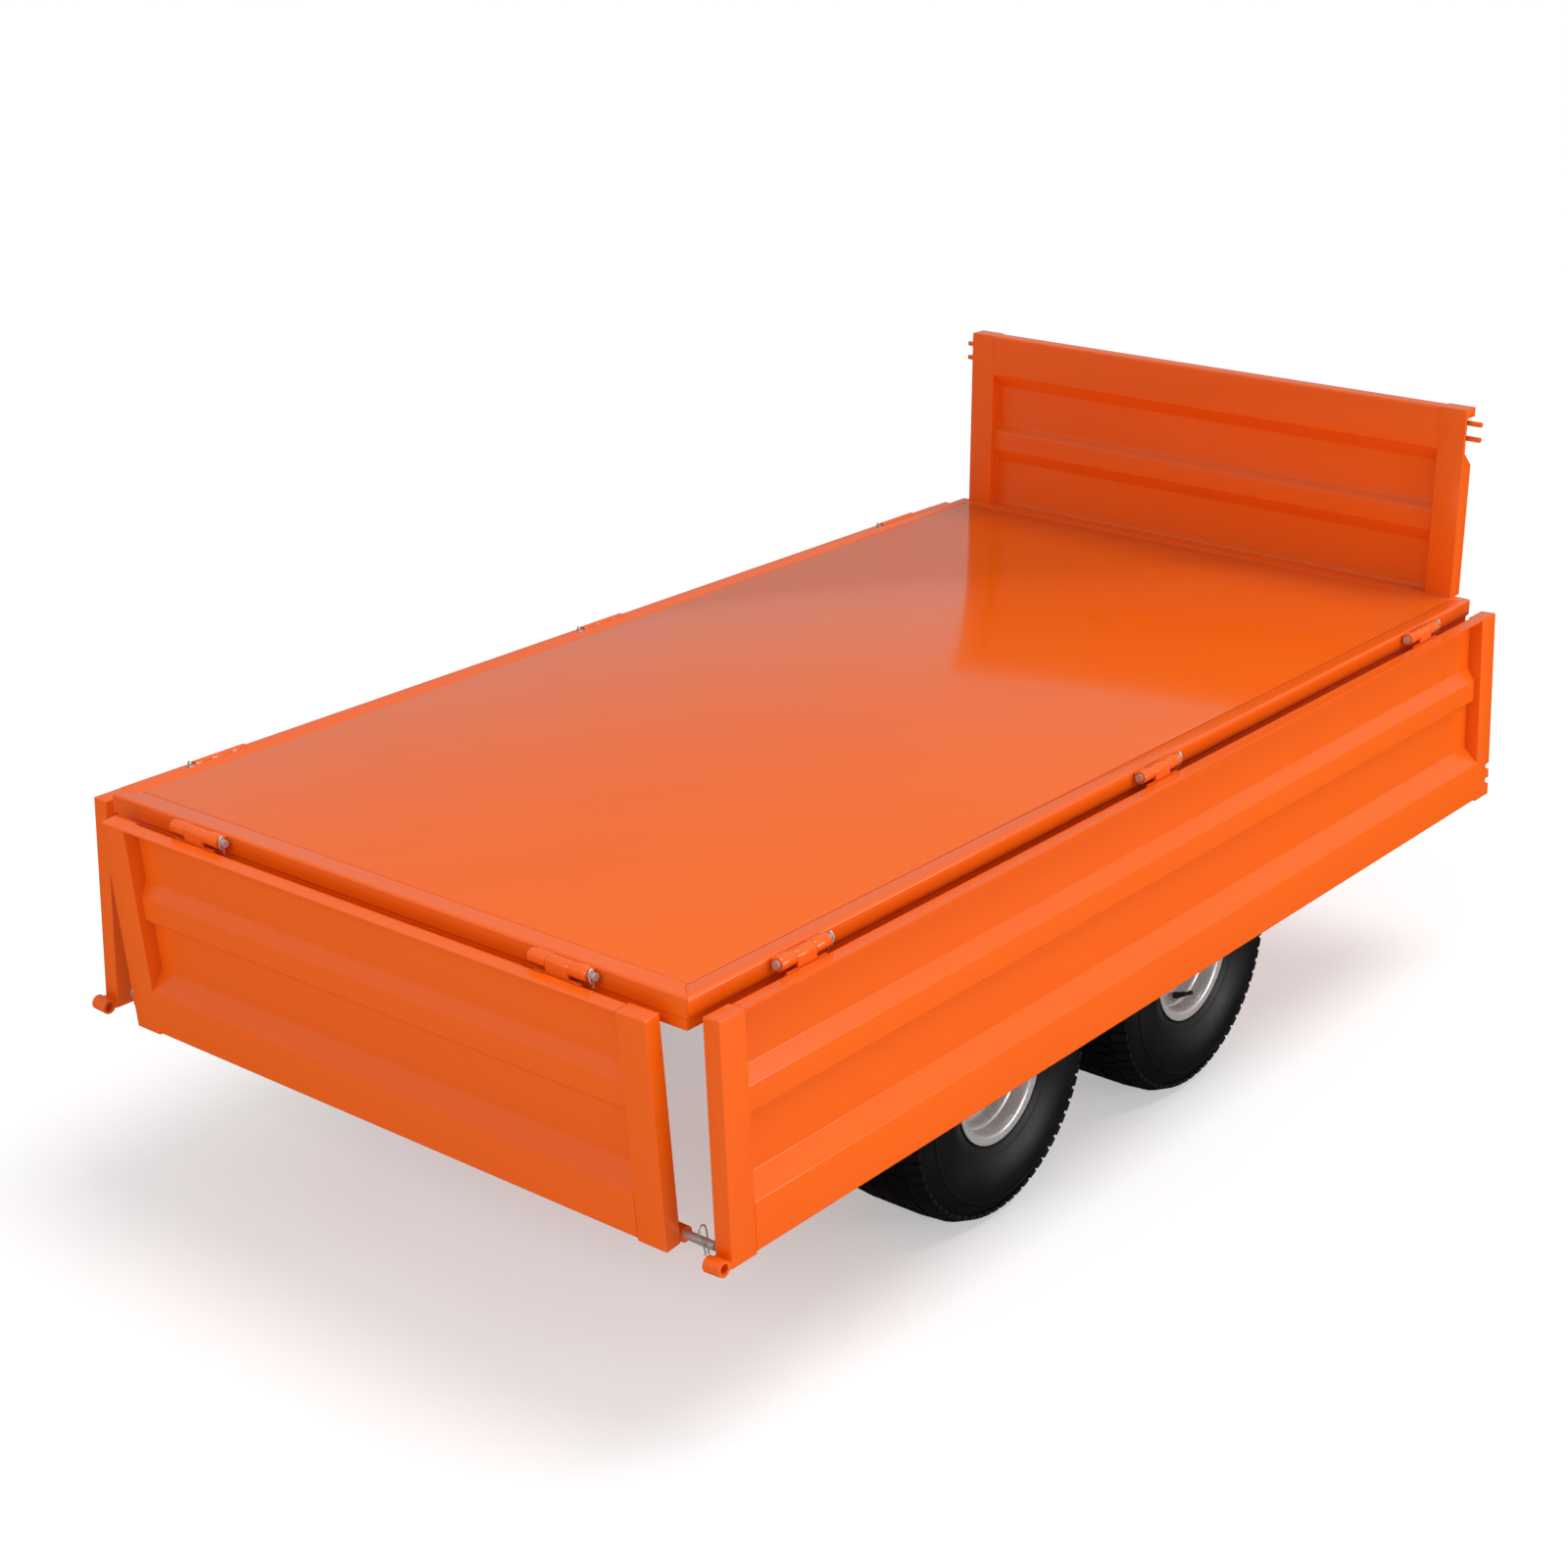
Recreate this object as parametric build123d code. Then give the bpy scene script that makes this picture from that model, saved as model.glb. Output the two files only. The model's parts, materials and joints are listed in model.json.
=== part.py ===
from build123d import *
import os
from math import cos, hypot, radians, sin

# Drop-side trailer: flat bed with a fixed headboard, two hanging sides and a hanging tail board,
# carried by walking-beam bogies with four flotation tyres, and drawn by a swivelling tow eye.
# Millimetres. +Y is the way it is towed, +X its right-hand side, +Z up, z = 0 the ground.
# The model is drawn with y = 0 at the bed's rear edge, then moved along Y to centre it.

# bed
bed_width = 1220.0
bed_length = 2350.0
bed_top = 723.0
rim_width = 30.0          # side rails, seen from above
rim_end_width = 36.0      # rear and front rails, seen from above
rim_depth = 52.0
rim_lip = 31.0            # height of the proud upper part of the rim
rim_step = 4.0            # how far the lip stands proud of the lower part
rim_wall = 4.0
rim_round = 3.0
floor_thickness = 3.0
floor_seam = 1.0          # open seam between floor sheet and rim
cross_count = 8
cross_width = 40.0
cross_wall = 3.0

# wheels
wheel_radius = 252.0
tyre_gap = 101.0          # between the front and rear tyre of one side
tyre_width = 250.0
tyre_wall = 9.0
tyre_overhang = 25.0      # how far the tyre bulges past the rim, each side
tyre_shoulder = (14.0, 24.0)   # where the tread turns into the wall, from crown and from side
bead_toe = 18.0
wheel_inset = 155.0       # centre plane of the tyre, inside the bed's edge
rim_radius = 101.0        # bead seat
rim_flange = 13.0
rim_sheet = 3.5
flange_roll = 1.5         # how far the flange's lip rolls outward
rim_steps = (28.0, 34.0, 50.0, 58.0)   # places across the rim where the barrel turns, from its edge
bend_shift = 1.0          # how far those turns move on the sheet's inner face
bead_gap = 0.3
ledge_depth = 8.0
well_depth = 20.0
disc_offset = 25.0        # disc's outer face, outboard of the wheel plane
disc_sheet = 5.0
disc_lip = 18.0           # depth of the disc's turned edge
disc_round = 3.0
disc_clearance = 0.5      # round the hub and the studs
hub_radius = 32.0
hub_back = 62.0           # hub's inner end, inboard of the wheel plane
hub_front = 18.0          # hub's outer end, outboard of the disc's face
hub_flange_gap = 5.2      # inside the disc's turned edge
hub_flange_thickness = 10.0
hub_cap_height = 22.0
hub_cap_wall = 3.0
stub_radius = 15.0
stub_shoulder = 24.0
stub_root = 5.0           # how far the thin stub runs into its shoulder
stub_end = 12.0           # thread past the hub
stub_nut = (21.0, 11.0)   # corner radius and thickness
hub_gap = 1.0             # running gap behind the hub
nut_gap = 0.3
stud_edge = 12.0          # stud circle, inside the hub flange's edge
stud_radius = 6.0
stud_count = 4
stud_thread = 20.0
wheel_nut = (11.0, 10.0)  # corner radius and thickness

# bogie beams and their axle
pivot_setback = 35.0      # bogie pivot, behind the bed's middle
beam_width = 60.0
beam_height = 80.0
beam_wall = 5.0
beam_overhang = 55.0
beam_tyre_gap = 22.0
beam_rail_gap = 18.0
pivot_radius = 25.0
sleeve_wall = 8.0
sleeve_proud = 1.0        # sleeve's ends, past the beam's faces
axle_radius = 38.0
axle_wall = 6.0
axle_past_rail = 6.0
axle_plug = 8.0           # end plate of the axle tube
spigot_root = 40.0        # how far the pivot spigot runs back into the tube
end_play = 2.0            # between beam and end cap
end_cap = (9.0, 6.0)      # past the spigot's radius, and thickness
end_bolt = (10.0, 7.0)
pedestal_thickness = 8.0
pedestal_top = 340.0
pedestal_edge = 22.0      # plate round the axle's hole

# chassis
rail_width = 60.0
rail_height = 100.0
rail_wall = 4.0
rail_inset = 60.0         # rail ends stop this far inside the bed
chassis_cross = 60.0
chassis_cross_inset = 180.0    # end crossmembers, inside the rails' ends
drawbar_width = 60.0
drawbar_height = 80.0
drawbar_overlap = 90.0    # drawbar's rear end, behind the bogie pivot
drawbar_reach = 830.0     # drawbar's front end, ahead of the bed

# boards
board_height = 371.0
board_thickness = 30.0
board_sheet = 3.0
post_width = 55.0
post_wall = 3.0
post_extra = 3.0          # posts stand this far past the sheet's free edge
rib_recess = 12.5
board_steps = (100.0, 126.0, 166.0, 178.0, 264.0, 294.0)   # heights where the pressing turns
side_rear_gap = 3.0
side_front_overrun = 5.0
tail_end_gap = 32.0       # tail board's end, inside the bed's edge
side_lean = 3.0           # outward, degrees, when hanging
tail_lean = 5.67          # inward, degrees, when hanging

# hinges
knuckle_radius = 11.0
knuckle_to_rim = 0.5
hinge_drop = 10.0         # pivot below the bed's top
pin_radius = 6.0
pin_clearance = 0.08
outer_knuckle = 33.0
middle_knuckle = 44.0
knuckle_gap = 0.5
leaf_width = 90.0
leaf_length = 62.0
leaf_thickness = 6.0
leaf_edge_gap = 2.0       # leaf's top edge, below the board's edge
strap_overlap = 5.0       # the knuckle's strap runs this far down the leaf
board_drop = 12.0         # board's top edge below the pivot
hinge_end_inset = 232.0   # end hinges of a side, inside the bed's ends
tail_hinge_inset = 191.0  # tail hinges, inside the tail board's ends
pin_head = (0.6, 4.0)     # past the pin's radius, and thickness
pin_head_seat = 0.2
pin_tail = 12.0
clip_wire = 1.3
clip_hug = 0.3            # clip's outer leg, off the pin
clip_hole_clearance = 0.4

# headboard
head_over_board = 5.0     # stands this much taller than the boards
head_end_gap = 31.5       # its ends, inside the bed's edges
head_inset = 24.0         # its rear face, behind the bed's front edge
head_depth = 38.0
keeper_radius = 5.0
window_depth = 14.0       # cut round the keepers, in from the post's outer face
window_drops = (18.0, 84.0, 115.0)     # its top, its foot and its slope's foot, below the post's top
window_skin = 5.0         # of the post's rear side that stays
keeper_back = 8.5         # keepers' tips, inside a raised board's outer face
keeper_drops = (54.0, 24.0)    # keepers, below a raised board's free edge
keeper_inset = 3.0        # keeper axis, behind the bed's front edge
keeper_clearance = 1.0    # notch round the keeper

# locks at the free corners
lock_inset = 5.0          # lock axis, inside the board's free edge
lock_pin_radius = 6.75
lock_boss_wall = 5.75
lock_boss_length = 60.0
lock_pin_past = 21.5      # lock pin's tip, outside a raised side board
lock_clip_inset = 14.0
eye_clearance = 1.25
eye_wall = 4.5

# coupling and stand
coupler_drop = 61.0       # tow eye's axis, below the drawbar
tow_bore = 20.0
tow_ring_radius = 42.0
tow_ring_height = 28.0
tow_ring_root = 6.0       # how far the shank stops short of the bore
tow_shank_radius = 15.0
tow_collar = (8.0, 12.0)  # past the shank's radius, and the length to its front
collar_gap = 0.5
eye_stand_off = 108.0     # tow eye's centre, ahead of its housing
shank_clearance = 0.06
shank_end_gap = 4.0
housing_radius = 30.0
housing_wall = 5.0
housing_length = 100.0
nut_room = 36.0
eye_nut = (7.0, 18.0)     # inside the housing's radius, and thickness
eye_nut_gap = 0.5
drop_plate_thickness = 12.0
drop_plate_width = 90.0
drop_plate_rise = 5.0     # above the drawbar's top
coupler_bolt_radius = 6.0
coupler_bolt_spread = (60.0, 70.0)
coupler_bolt_edge = 20.0
coupler_head = (10.5, 8.0)
coupler_nut = (10.5, 10.0)
bolt_thread = 12.0
stand_setback = 120.0     # stand, behind the drawbar's front end
stand_radius = 25.0
stand_wall = 3.0
stand_clearance = 0.4
stand_clamp_wall = 5.0
stand_clamp_below = 10.0  # clamp's lower end, below the drawbar
stand_clamp_above = 20.0  # clamp's upper end, above the drawbar
stand_rise = 79.0         # leg's top, above the drawbar
foot_size = 140.0
foot_thickness = 8.0
screw_radius = 6.0
screw_boss = (7.0, 18.0)  # past the screw's radius, and length
screw_neck = 4.0          # screw's shoulder, off its boss
screw_length = 26.0
screw_shoulder = 3.0
screw_tip_gap = 0.3
screw_bar_place = 17.0
screw_bar_length = 110.0
screw_bar_radius = 4.0

# what follows from them
bed_under = bed_top - rim_depth
rail_under = bed_under - rail_height
wheel_spacing = 2 * wheel_radius + tyre_gap
wheel_plane = bed_width / 2 - wheel_inset
wheel_rim_width = tyre_width - 2 * tyre_overhang
hub_flange_radius = rim_radius - bead_gap - well_depth - rim_sheet - disc_sheet - hub_flange_gap
stud_circle = hub_flange_radius - stud_edge
hub_inner = wheel_plane - hub_back
hub_outer = wheel_plane + disc_offset + hub_front
bogie_pivot_y = bed_length / 2 - pivot_setback
beam_inner = wheel_plane - tyre_width / 2 - beam_tyre_gap - beam_width
rail_centre = beam_inner - beam_rail_gap - rail_width / 2
front_y = bed_length + drawbar_reach
hinge_offset = knuckle_radius + knuckle_to_rim     # pivot outside the bed's face
pivot_z = bed_top - hinge_drop
board_face = knuckle_radius + board_thickness      # a hanging board's outer face, from the pivot
raised_face = bed_width / 2 + hinge_offset - knuckle_radius      # a raised side's outer face
band_recess = board_thickness - board_sheet        # the deep bands lie on the back plane
tail_width = bed_width - 2 * tail_end_gap
tail_hinge_place = tail_width / 2 - tail_hinge_inset
side_hinge_pitch = bed_length / 2 - hinge_end_inset
head_width = bed_width - 2 * head_end_gap
head_height = board_height + head_over_board
keeper_heights = [board_height - drop for drop in keeper_drops]
lock_height = board_height - lock_inset            # lock axis, from the board's hinge edge
lock_offset = lock_pin_radius + lock_boss_wall     # lock axis, off the tail's back face
eye_bore = lock_pin_radius + eye_clearance
eye_radius = eye_bore + eye_wall
tow_height = rail_under - drawbar_height - coupler_drop
plate_end = front_y + drop_plate_thickness
housing_end = plate_end + housing_length
tow_eye_y = housing_end + eye_stand_off
stand_y = front_y - stand_setback
past = 1.0                # cutters run this far past what they cut
nodes = {}


def block(xs, ys, zs):
    """A box between two values on each axis."""
    size = [abs(high - low) for low, high in (xs, ys, zs)]
    middle = [(low + high) / 2 for low, high in (xs, ys, zs)]
    return Pos(*middle) * Box(*size)


def bar(start, end, radius):
    """A round bar from one point to another."""
    along = Vector(*end) - Vector(*start)
    place = Plane(origin=Vector(*start), z_dir=along.normalized())
    return place * Cylinder(radius, along.length, align=(Align.CENTER, Align.CENTER, Align.MIN))


def pipe(start, end, radius, bore):
    """A round tube, open at both ends."""
    return bar(start, end, radius) - bar(start, end, bore)


def box_tube(xs, ys, zs, wall, axis):
    """A rectangular tube, open at its two ends along axis 0, 1 or 2."""
    ranges = [xs, ys, zs]
    inner = [pair if i == axis else (pair[0] + wall, pair[1] - wall) for i, pair in enumerate(ranges)]
    return block(*ranges) - block(*inner)


def slab(points, plane, thickness):
    """A flat outline on a plane, pulled out along the plane's normal."""
    outline = make_face(Polyline(*points, close=True))
    return extrude(plane * outline, thickness)


def hexagon(centre, direction, radius, length):
    """A hexagonal nut or bolt head; radius is to its corners."""
    place = Plane(origin=Vector(*centre), z_dir=Vector(*direction))
    return extrude(place * RegularPolygon(radius, 6), length)


def put(name, *shapes):
    """Keeps the solids of one named piece."""
    solids = [solid for shape in shapes for solid in shape.solids()]
    nodes[name] = Compound(children=solids)


# ---------------------------------------------------------------- bed

def rim_section(width):
    """Rail section: x from 0 at the outer face inwards, y = 0 at the top."""
    points = [(width, 0), (rim_round, 0), (0, -rim_round), (0, -rim_lip), (rim_step, -rim_lip - rim_step),
              (rim_step, -rim_depth), (width, -rim_depth)]
    outer = make_face(Polyline(*points, close=True))
    inside = width - rim_step - 2 * rim_wall
    hollow = Pos(rim_step + rim_wall + inside / 2, -rim_depth / 2) * Rectangle(inside, rim_depth - 2 * rim_wall)
    return outer - hollow


def mitre(points, side, y, way):
    """A cutter for one bed corner; points are (off the centre line, in from the bed's end)."""
    outline = [(side * x, y + way * inward) for x, inward in points]
    place = Plane(origin=(0, 0, bed_under - past), x_dir=(1, 0, 0), z_dir=(0, 0, 1))
    return slab(outline, place, rim_depth + 2 * past)


def make_bed():
    half = bed_width / 2
    inner = half - rim_width
    section = rim_section(rim_width)
    end_section = rim_section(rim_end_width)
    ends = (("rear_rail", 0, 1), ("front_rail", bed_length, -1))
    for name, side in (("side_rail_right", 1), ("side_rail_left", -1)):
        place = Plane(origin=(side * half, 0, bed_top), x_dir=(-side, 0, 0), z_dir=(0, side, 0))
        rail = extrude(place * section, bed_length * side)
        for _, y, way in ends:
            rail -= mitre([(half + past, -past), (inner, -past), (inner, rim_width)], side, y, way)
        put(name, rail)
    for name, y, way in ends:
        place = Plane(origin=(0, y, bed_top), x_dir=(0, way, 0), z_dir=(way, 0, 0))
        rail = extrude(place * end_section, half, both=True)
        for side in (-1, 1):
            rail -= mitre([(half + past, -past), (inner, rim_width), (inner, rim_end_width + past),
                           (half + past, rim_end_width + past)], side, y, way)
        put(name, rail)

    low = rim_end_width + floor_seam
    high = bed_length - rim_end_width - floor_seam
    across = inner - floor_seam
    put("floor_sheet", block((-across, across), (low, high), (bed_top - floor_thickness, bed_top)))

    pitch = (bed_length - 2 * rim_end_width) / cross_count
    members = []
    for i in range(cross_count):
        y = rim_end_width + pitch * (i + 0.5)
        ys = (y - cross_width / 2, y + cross_width / 2)
        hat = block((-inner, inner), ys, (bed_under, bed_top - floor_thickness))
        groove = block((-inner, inner), (ys[0] + cross_wall, ys[1] - cross_wall),
                       (bed_under, bed_top - floor_thickness - cross_wall))
        members.append(hat - groove)
    put("crossmembers", *members)


# ---------------------------------------------------------------- pressed boards

def parallel(points, distance):
    """The same line moved to its right, with mitred corners."""
    moved = []
    for i, point in enumerate(points):
        before = points[max(i - 1, 0)]
        after = points[min(i + 1, len(points) - 1)]
        pairs = [(a, b) for a, b in ((before, point), (point, after)) if a != b]
        normals = []
        for a, b in pairs:
            run = hypot(b[0] - a[0], b[1] - a[1])
            normals.append(((b[1] - a[1]) / run, -(b[0] - a[0]) / run))
        nx = sum(n[0] for n in normals) / len(normals)
        ny = sum(n[1] for n in normals) / len(normals)
        scale = distance / (nx * nx + ny * ny)
        moved.append((point[0] + nx * scale, point[1] + ny * scale))
    return moved


def pressing(height):
    """Section of the pressed sheet: first number off the back face, second down from the hinge edge."""
    face = board_thickness
    band = face - band_recess
    rib = face - rib_recess
    a, b, c, d, e, f = board_steps
    line = [(face, -board_sheet), (band, -board_sheet), (band, -a), (rib, -b), (rib, -c), (band, -d),
            (band, -e), (face, -f), (face, -height), (0, -height)]
    return make_face(Polyline(*line, *reversed(parallel(line, board_sheet)), close=True))


def board_sheet_solid(length, height):
    """The pressing along X, centred; its back face is y = 0 and its hinge edge z = 0."""
    place = Plane(origin=(0, 0, 0), x_dir=(0, 1, 0), z_dir=(1, 0, 0))
    return extrude(place * pressing(height), length / 2, both=True)


def capped_post(xs, ys, zs):
    """A rectangular tube along Z, closed at its top and open at its foot."""
    inner = [(low + post_wall, high - post_wall) for low, high in (xs, ys)]
    return block(xs, ys, zs) - block(*inner, (zs[0], zs[1] - post_wall))


def board_post(x, height, notches):
    """A boxed end post along Z, closed at its top; notches are heights open towards +X or -X."""
    low, high = x
    notch_height = 2 * (keeper_radius + keeper_clearance)
    notch_depth = side_front_overrun + keeper_inset + keeper_radius + keeper_clearance
    post = capped_post((low, high), (0, board_thickness), (-height, 0))
    for level, way in notches:
        end = high if way > 0 else low
        cut = (end - notch_depth, end) if way > 0 else (end, end + notch_depth)
        zs = (-level - notch_height / 2, -level + notch_height / 2)
        post -= block(cut, (-past, board_thickness + past), zs)
    return post


def leaf(x):
    """A hinge leaf and its knuckle, in the pivot's frame."""
    half = middle_knuckle / 2 - knuckle_gap
    bore = pin_radius + pin_clearance
    inner = knuckle_radius - leaf_thickness
    plate = block((x - half, x + half), (inner, knuckle_radius), (-board_drop - strap_overlap, 0))
    plate += block((x - leaf_width / 2, x + leaf_width / 2), (inner, knuckle_radius),
                   (-board_drop - leaf_length, -board_drop - leaf_edge_gap))
    knuckle = bar((x - half, 0, 0), (x + half, 0, 0), knuckle_radius)
    return plate + knuckle - bar((x - half, 0, 0), (x + half, 0, 0), bore)


def hung(shape, pivot, turn, lean):
    """Moves a board from the pivot's frame to its hinge, leaning outward by lean degrees."""
    return Pos(*pivot) * Rot(0, 0, turn) * Rot(lean, 0, 0) * shape


def make_side(name, side):
    """A side board; its own X runs forward on the right side and backward on the left."""
    length = bed_length - side_rear_gap + side_front_overrun
    half = length / 2
    shift = Pos(0, knuckle_radius, -board_drop)
    front = -side
    keeper_levels = [height - (board_drop - hinge_drop) for height in keeper_heights]
    posts = []
    for end in (-1, 1):
        span = sorted((end * half, end * (half - post_width)))
        notches = [(level, front) for level in keeper_levels] if end == front else []
        posts.append(shift * board_post(span, board_height + post_extra, notches))
    sheet = shift * board_sheet_solid(length - 2 * post_width, board_height)

    middle = side_rear_gap + half
    leaves = [leaf(front * (bed_length / 2 + place - middle)) for place in side_hinge_places()]

    eye_x = front * (lock_y() - middle)
    post_end = -front * half
    eye = pipe((eye_x, 0, 0), (eye_x, board_thickness, 0), eye_radius, eye_bore)
    web = block(sorted((eye_x, post_end)), (0, board_thickness), (-eye_radius / 2, eye_radius / 2))
    web -= bar((eye_x, -past, 0), (eye_x, board_thickness + past, 0), eye_radius - eye_wall / 4)
    eye = Pos(0, knuckle_radius, -board_drop - lock_height) * (eye + web)

    pivot = (side * (bed_width / 2 + hinge_offset), middle, pivot_z)
    turn = -90 * side
    pieces = (("sheet", [sheet]), ("posts", posts), ("leaves", leaves), ("eye", [eye]))
    for piece, shapes in pieces:
        put(f"side_{piece}_{name}", *[hung(shape, pivot, turn, side_lean) for shape in shapes])


def lock_y():
    """Y of the lock axis when the tail is raised."""
    return -hinge_offset + knuckle_radius - lock_offset


def side_hinge_places():
    return (-side_hinge_pitch, 0.0, side_hinge_pitch)


def make_tail():
    half = tail_width / 2
    shift = Pos(0, knuckle_radius, -board_drop)
    posts = []
    bosses = []
    pins = []
    clips = []
    for end in (-1, 1):
        span = sorted((end * half, end * (half - post_width)))
        posts.append(shift * board_post(span, board_height + post_extra, []))
        axis_y = knuckle_radius - lock_offset
        axis_z = -board_drop - lock_height
        tip = end * (raised_face + lock_pin_past)
        inner = end * (half - lock_boss_length)
        boss = pipe((inner, axis_y, axis_z), (end * half, axis_y, axis_z), lock_offset, lock_pin_radius)
        bosses.append(boss)
        hole_x = tip - end * lock_clip_inset
        pin = bar((inner, axis_y, axis_z), (tip, axis_y, axis_z), lock_pin_radius)
        low, high = axis_z - lock_offset, axis_z + lock_offset
        hole = bar((hole_x, axis_y, low), (hole_x, axis_y, high), clip_wire + clip_hole_clearance)
        pins.append(pin - hole)
        clips.append(Pos(hole_x, axis_y, axis_z) * lock_clip())
    sheet = shift * board_sheet_solid(tail_width - 2 * post_width, board_height)
    leaves = [leaf(side * tail_hinge_place) for side in (-1, 1)]
    pieces = (("tail_sheet", [sheet]), ("tail_posts", posts), ("tail_leaves", leaves),
              ("tail_pin_bosses", bosses), ("tail_lock_pins", pins), ("tail_lock_clips", clips))
    for name, shapes in pieces:
        put(name, *[hung(shape, (0, -hinge_offset, pivot_z), 180, -tail_lean) for shape in shapes])


def wire(points, radius):
    """Round wire along a line of points in the YZ plane, with rounded corners."""
    path = FilletPolyline(*[(0, y, z) for y, z in points], radius=radius)
    start = Plane(origin=path @ 0, z_dir=path % 0)
    return sweep(start * Circle(clip_wire), path=path)


def lock_clip():
    """A long spring clip: one leg runs down through the lock pin, the other hugs its side."""
    hug = lock_pin_radius + clip_wire + clip_hug
    return wire([(0, -16), (0, 40), (hug + 7, 40), (hug + 5, 24), (4, 13), (hug + 1, 1), (hug - 2, -12)], 3)


def hinge_clip():
    """A short spring clip that stays inside the board's swing."""
    hug = pin_radius + clip_wire + clip_hug
    return wire([(0, -18), (0, 12), (hug, 12), (hug + 0.6, 0), (hug - 4, -11)], 2.5)


# ---------------------------------------------------------------- headboard

def keeper_window(side, half, rear):
    """A cutter for the opening in a headboard post where a raised side board's post comes in."""
    top, foot, slope = [bed_top + head_height - drop for drop in window_drops]
    low = rear + window_skin
    high = rear + head_depth + past
    outline = [(low, top), (high, top), (high, slope), (low, foot)]
    face = half - window_depth if side > 0 else -half - past
    place = Plane(origin=(face, 0, 0), x_dir=(0, 1, 0), z_dir=(1, 0, 0))
    return slab(outline, place, window_depth + past)


def make_headboard():
    half = head_width / 2
    rear = bed_length - head_inset
    posts = []
    keepers = []
    for side in (-1, 1):
        xs = sorted((side * half, side * (half - post_width)))
        post = capped_post(xs, (rear, rear + head_depth), (bed_top, bed_top + head_height))
        post -= keeper_window(side, half, rear)
        for height in keeper_heights:
            y = bed_length - keeper_inset
            z = bed_top + height
            root = side * (half - post_width + post_wall / 2)
            rod = bar((root, y, z), (side * (raised_face - keeper_back), y, z), keeper_radius)
            keepers.append(rod)
            post -= rod
        posts.append(post)
    put("headboard_posts", *posts)
    put("headboard_keepers", *keepers)
    sheet = board_sheet_solid(head_width - 2 * post_width, head_height)
    turned = Rot(180, 0, 0) * sheet
    put("headboard_sheet", Pos(0, rear + board_thickness, bed_top) * turned)


# ---------------------------------------------------------------- hinges on the bed

def hinge_on_bed():
    """Outer knuckles, pin and clip of one hinge along X, in the pivot's frame, the bed on -Y."""
    bore = pin_radius + pin_clearance
    half = middle_knuckle / 2
    outer = half + outer_knuckle
    knuckles = []
    for end in (-1, 1):
        xs = sorted((end * half, end * outer))
        barrel = bar((xs[0], 0, 0), (xs[1], 0, 0), knuckle_radius)
        foot = block(xs, (-hinge_offset, 0), (-knuckle_radius, -pin_radius))
        knuckles.append(barrel + foot - bar((xs[0], 0, 0), (xs[1], 0, 0), bore))
    pin = bar((-outer - pin_tail, 0, 0), (outer + pin_head[1] / 2, 0, 0), pin_radius)
    pin += bar((outer + pin_head_seat, 0, 0), (outer + pin_head[1], 0, 0), pin_radius + pin_head[0])
    hole_x = -outer - pin_tail / 2
    pin -= bar((hole_x, 0, -knuckle_radius), (hole_x, 0, knuckle_radius), clip_wire + clip_hole_clearance)
    clip = Pos(hole_x, 0, 0) * hinge_clip()
    return knuckles, pin, clip


def make_bed_hinges():
    knuckles = []
    pins = []
    clips = []
    places = []
    for side in (1, -1):
        for y in side_hinge_places():
            places.append(((side * (bed_width / 2 + hinge_offset), bed_length / 2 + y, pivot_z), -90 * side))
    for side in (1, -1):
        places.append(((side * tail_hinge_place, -hinge_offset, pivot_z), 180))
    for pivot, turn in places:
        barrels, pin, clip = hinge_on_bed()
        location = Pos(*pivot) * Rot(0, 0, turn)
        knuckles += [location * barrel for barrel in barrels]
        pins.append(location * pin)
        clips.append(location * clip)
    put("hinge_knuckles", *knuckles)
    put("hinge_pins", *pins)
    put("hinge_clips", *clips)


# ---------------------------------------------------------------- chassis

def make_chassis():
    rails = []
    pedestals = []
    foot = axle_radius + pedestal_edge
    corner = foot * cos(radians(45))
    pivot = bogie_pivot_y
    top = pedestal_top / 2
    for side in (-1, 1):
        xs = sorted((side * (rail_centre - rail_width / 2), side * (rail_centre + rail_width / 2)))
        rails.append(box_tube(xs, (rail_inset, bed_length - rail_inset), (rail_under, bed_under), rail_wall, 1))
        for face in (-1, 1):
            x = side * rail_centre + face * (rail_width / 2 - pedestal_thickness / 2)
            outline = [(pivot - top, rail_under), (pivot + top, rail_under), (pivot + foot, wheel_radius),
                       (pivot + corner, wheel_radius - corner), (pivot - corner, wheel_radius - corner),
                       (pivot - foot, wheel_radius)]
            low = x - pedestal_thickness / 2
            high = x + pedestal_thickness / 2
            place = Plane(origin=(low, 0, 0), x_dir=(0, 1, 0), z_dir=(1, 0, 0))
            plate = slab(outline, place, pedestal_thickness)
            hole = bar((low - past, pivot, wheel_radius), (high + past, pivot, wheel_radius), axle_radius)
            pedestals.append(plate - hole)
    put("chassis_rails", *rails)
    put("axle_pedestals", *pedestals)

    inner = rail_centre - rail_width / 2
    crosses = []
    end_place = rail_inset + chassis_cross_inset
    for y in (end_place, bogie_pivot_y, bed_length - end_place):
        crosses.append(box_tube((-inner, inner), (y - chassis_cross / 2, y + chassis_cross / 2),
                                (rail_under, rail_under + chassis_cross), rail_wall, 0))
    put("chassis_crossmembers", *crosses)

    half = drawbar_width / 2
    rear = bogie_pivot_y - drawbar_overlap
    zs = (rail_under - drawbar_height, rail_under)
    put("drawbar", box_tube((-half, half), (rear, front_y), zs, rail_wall, 1))


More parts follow.
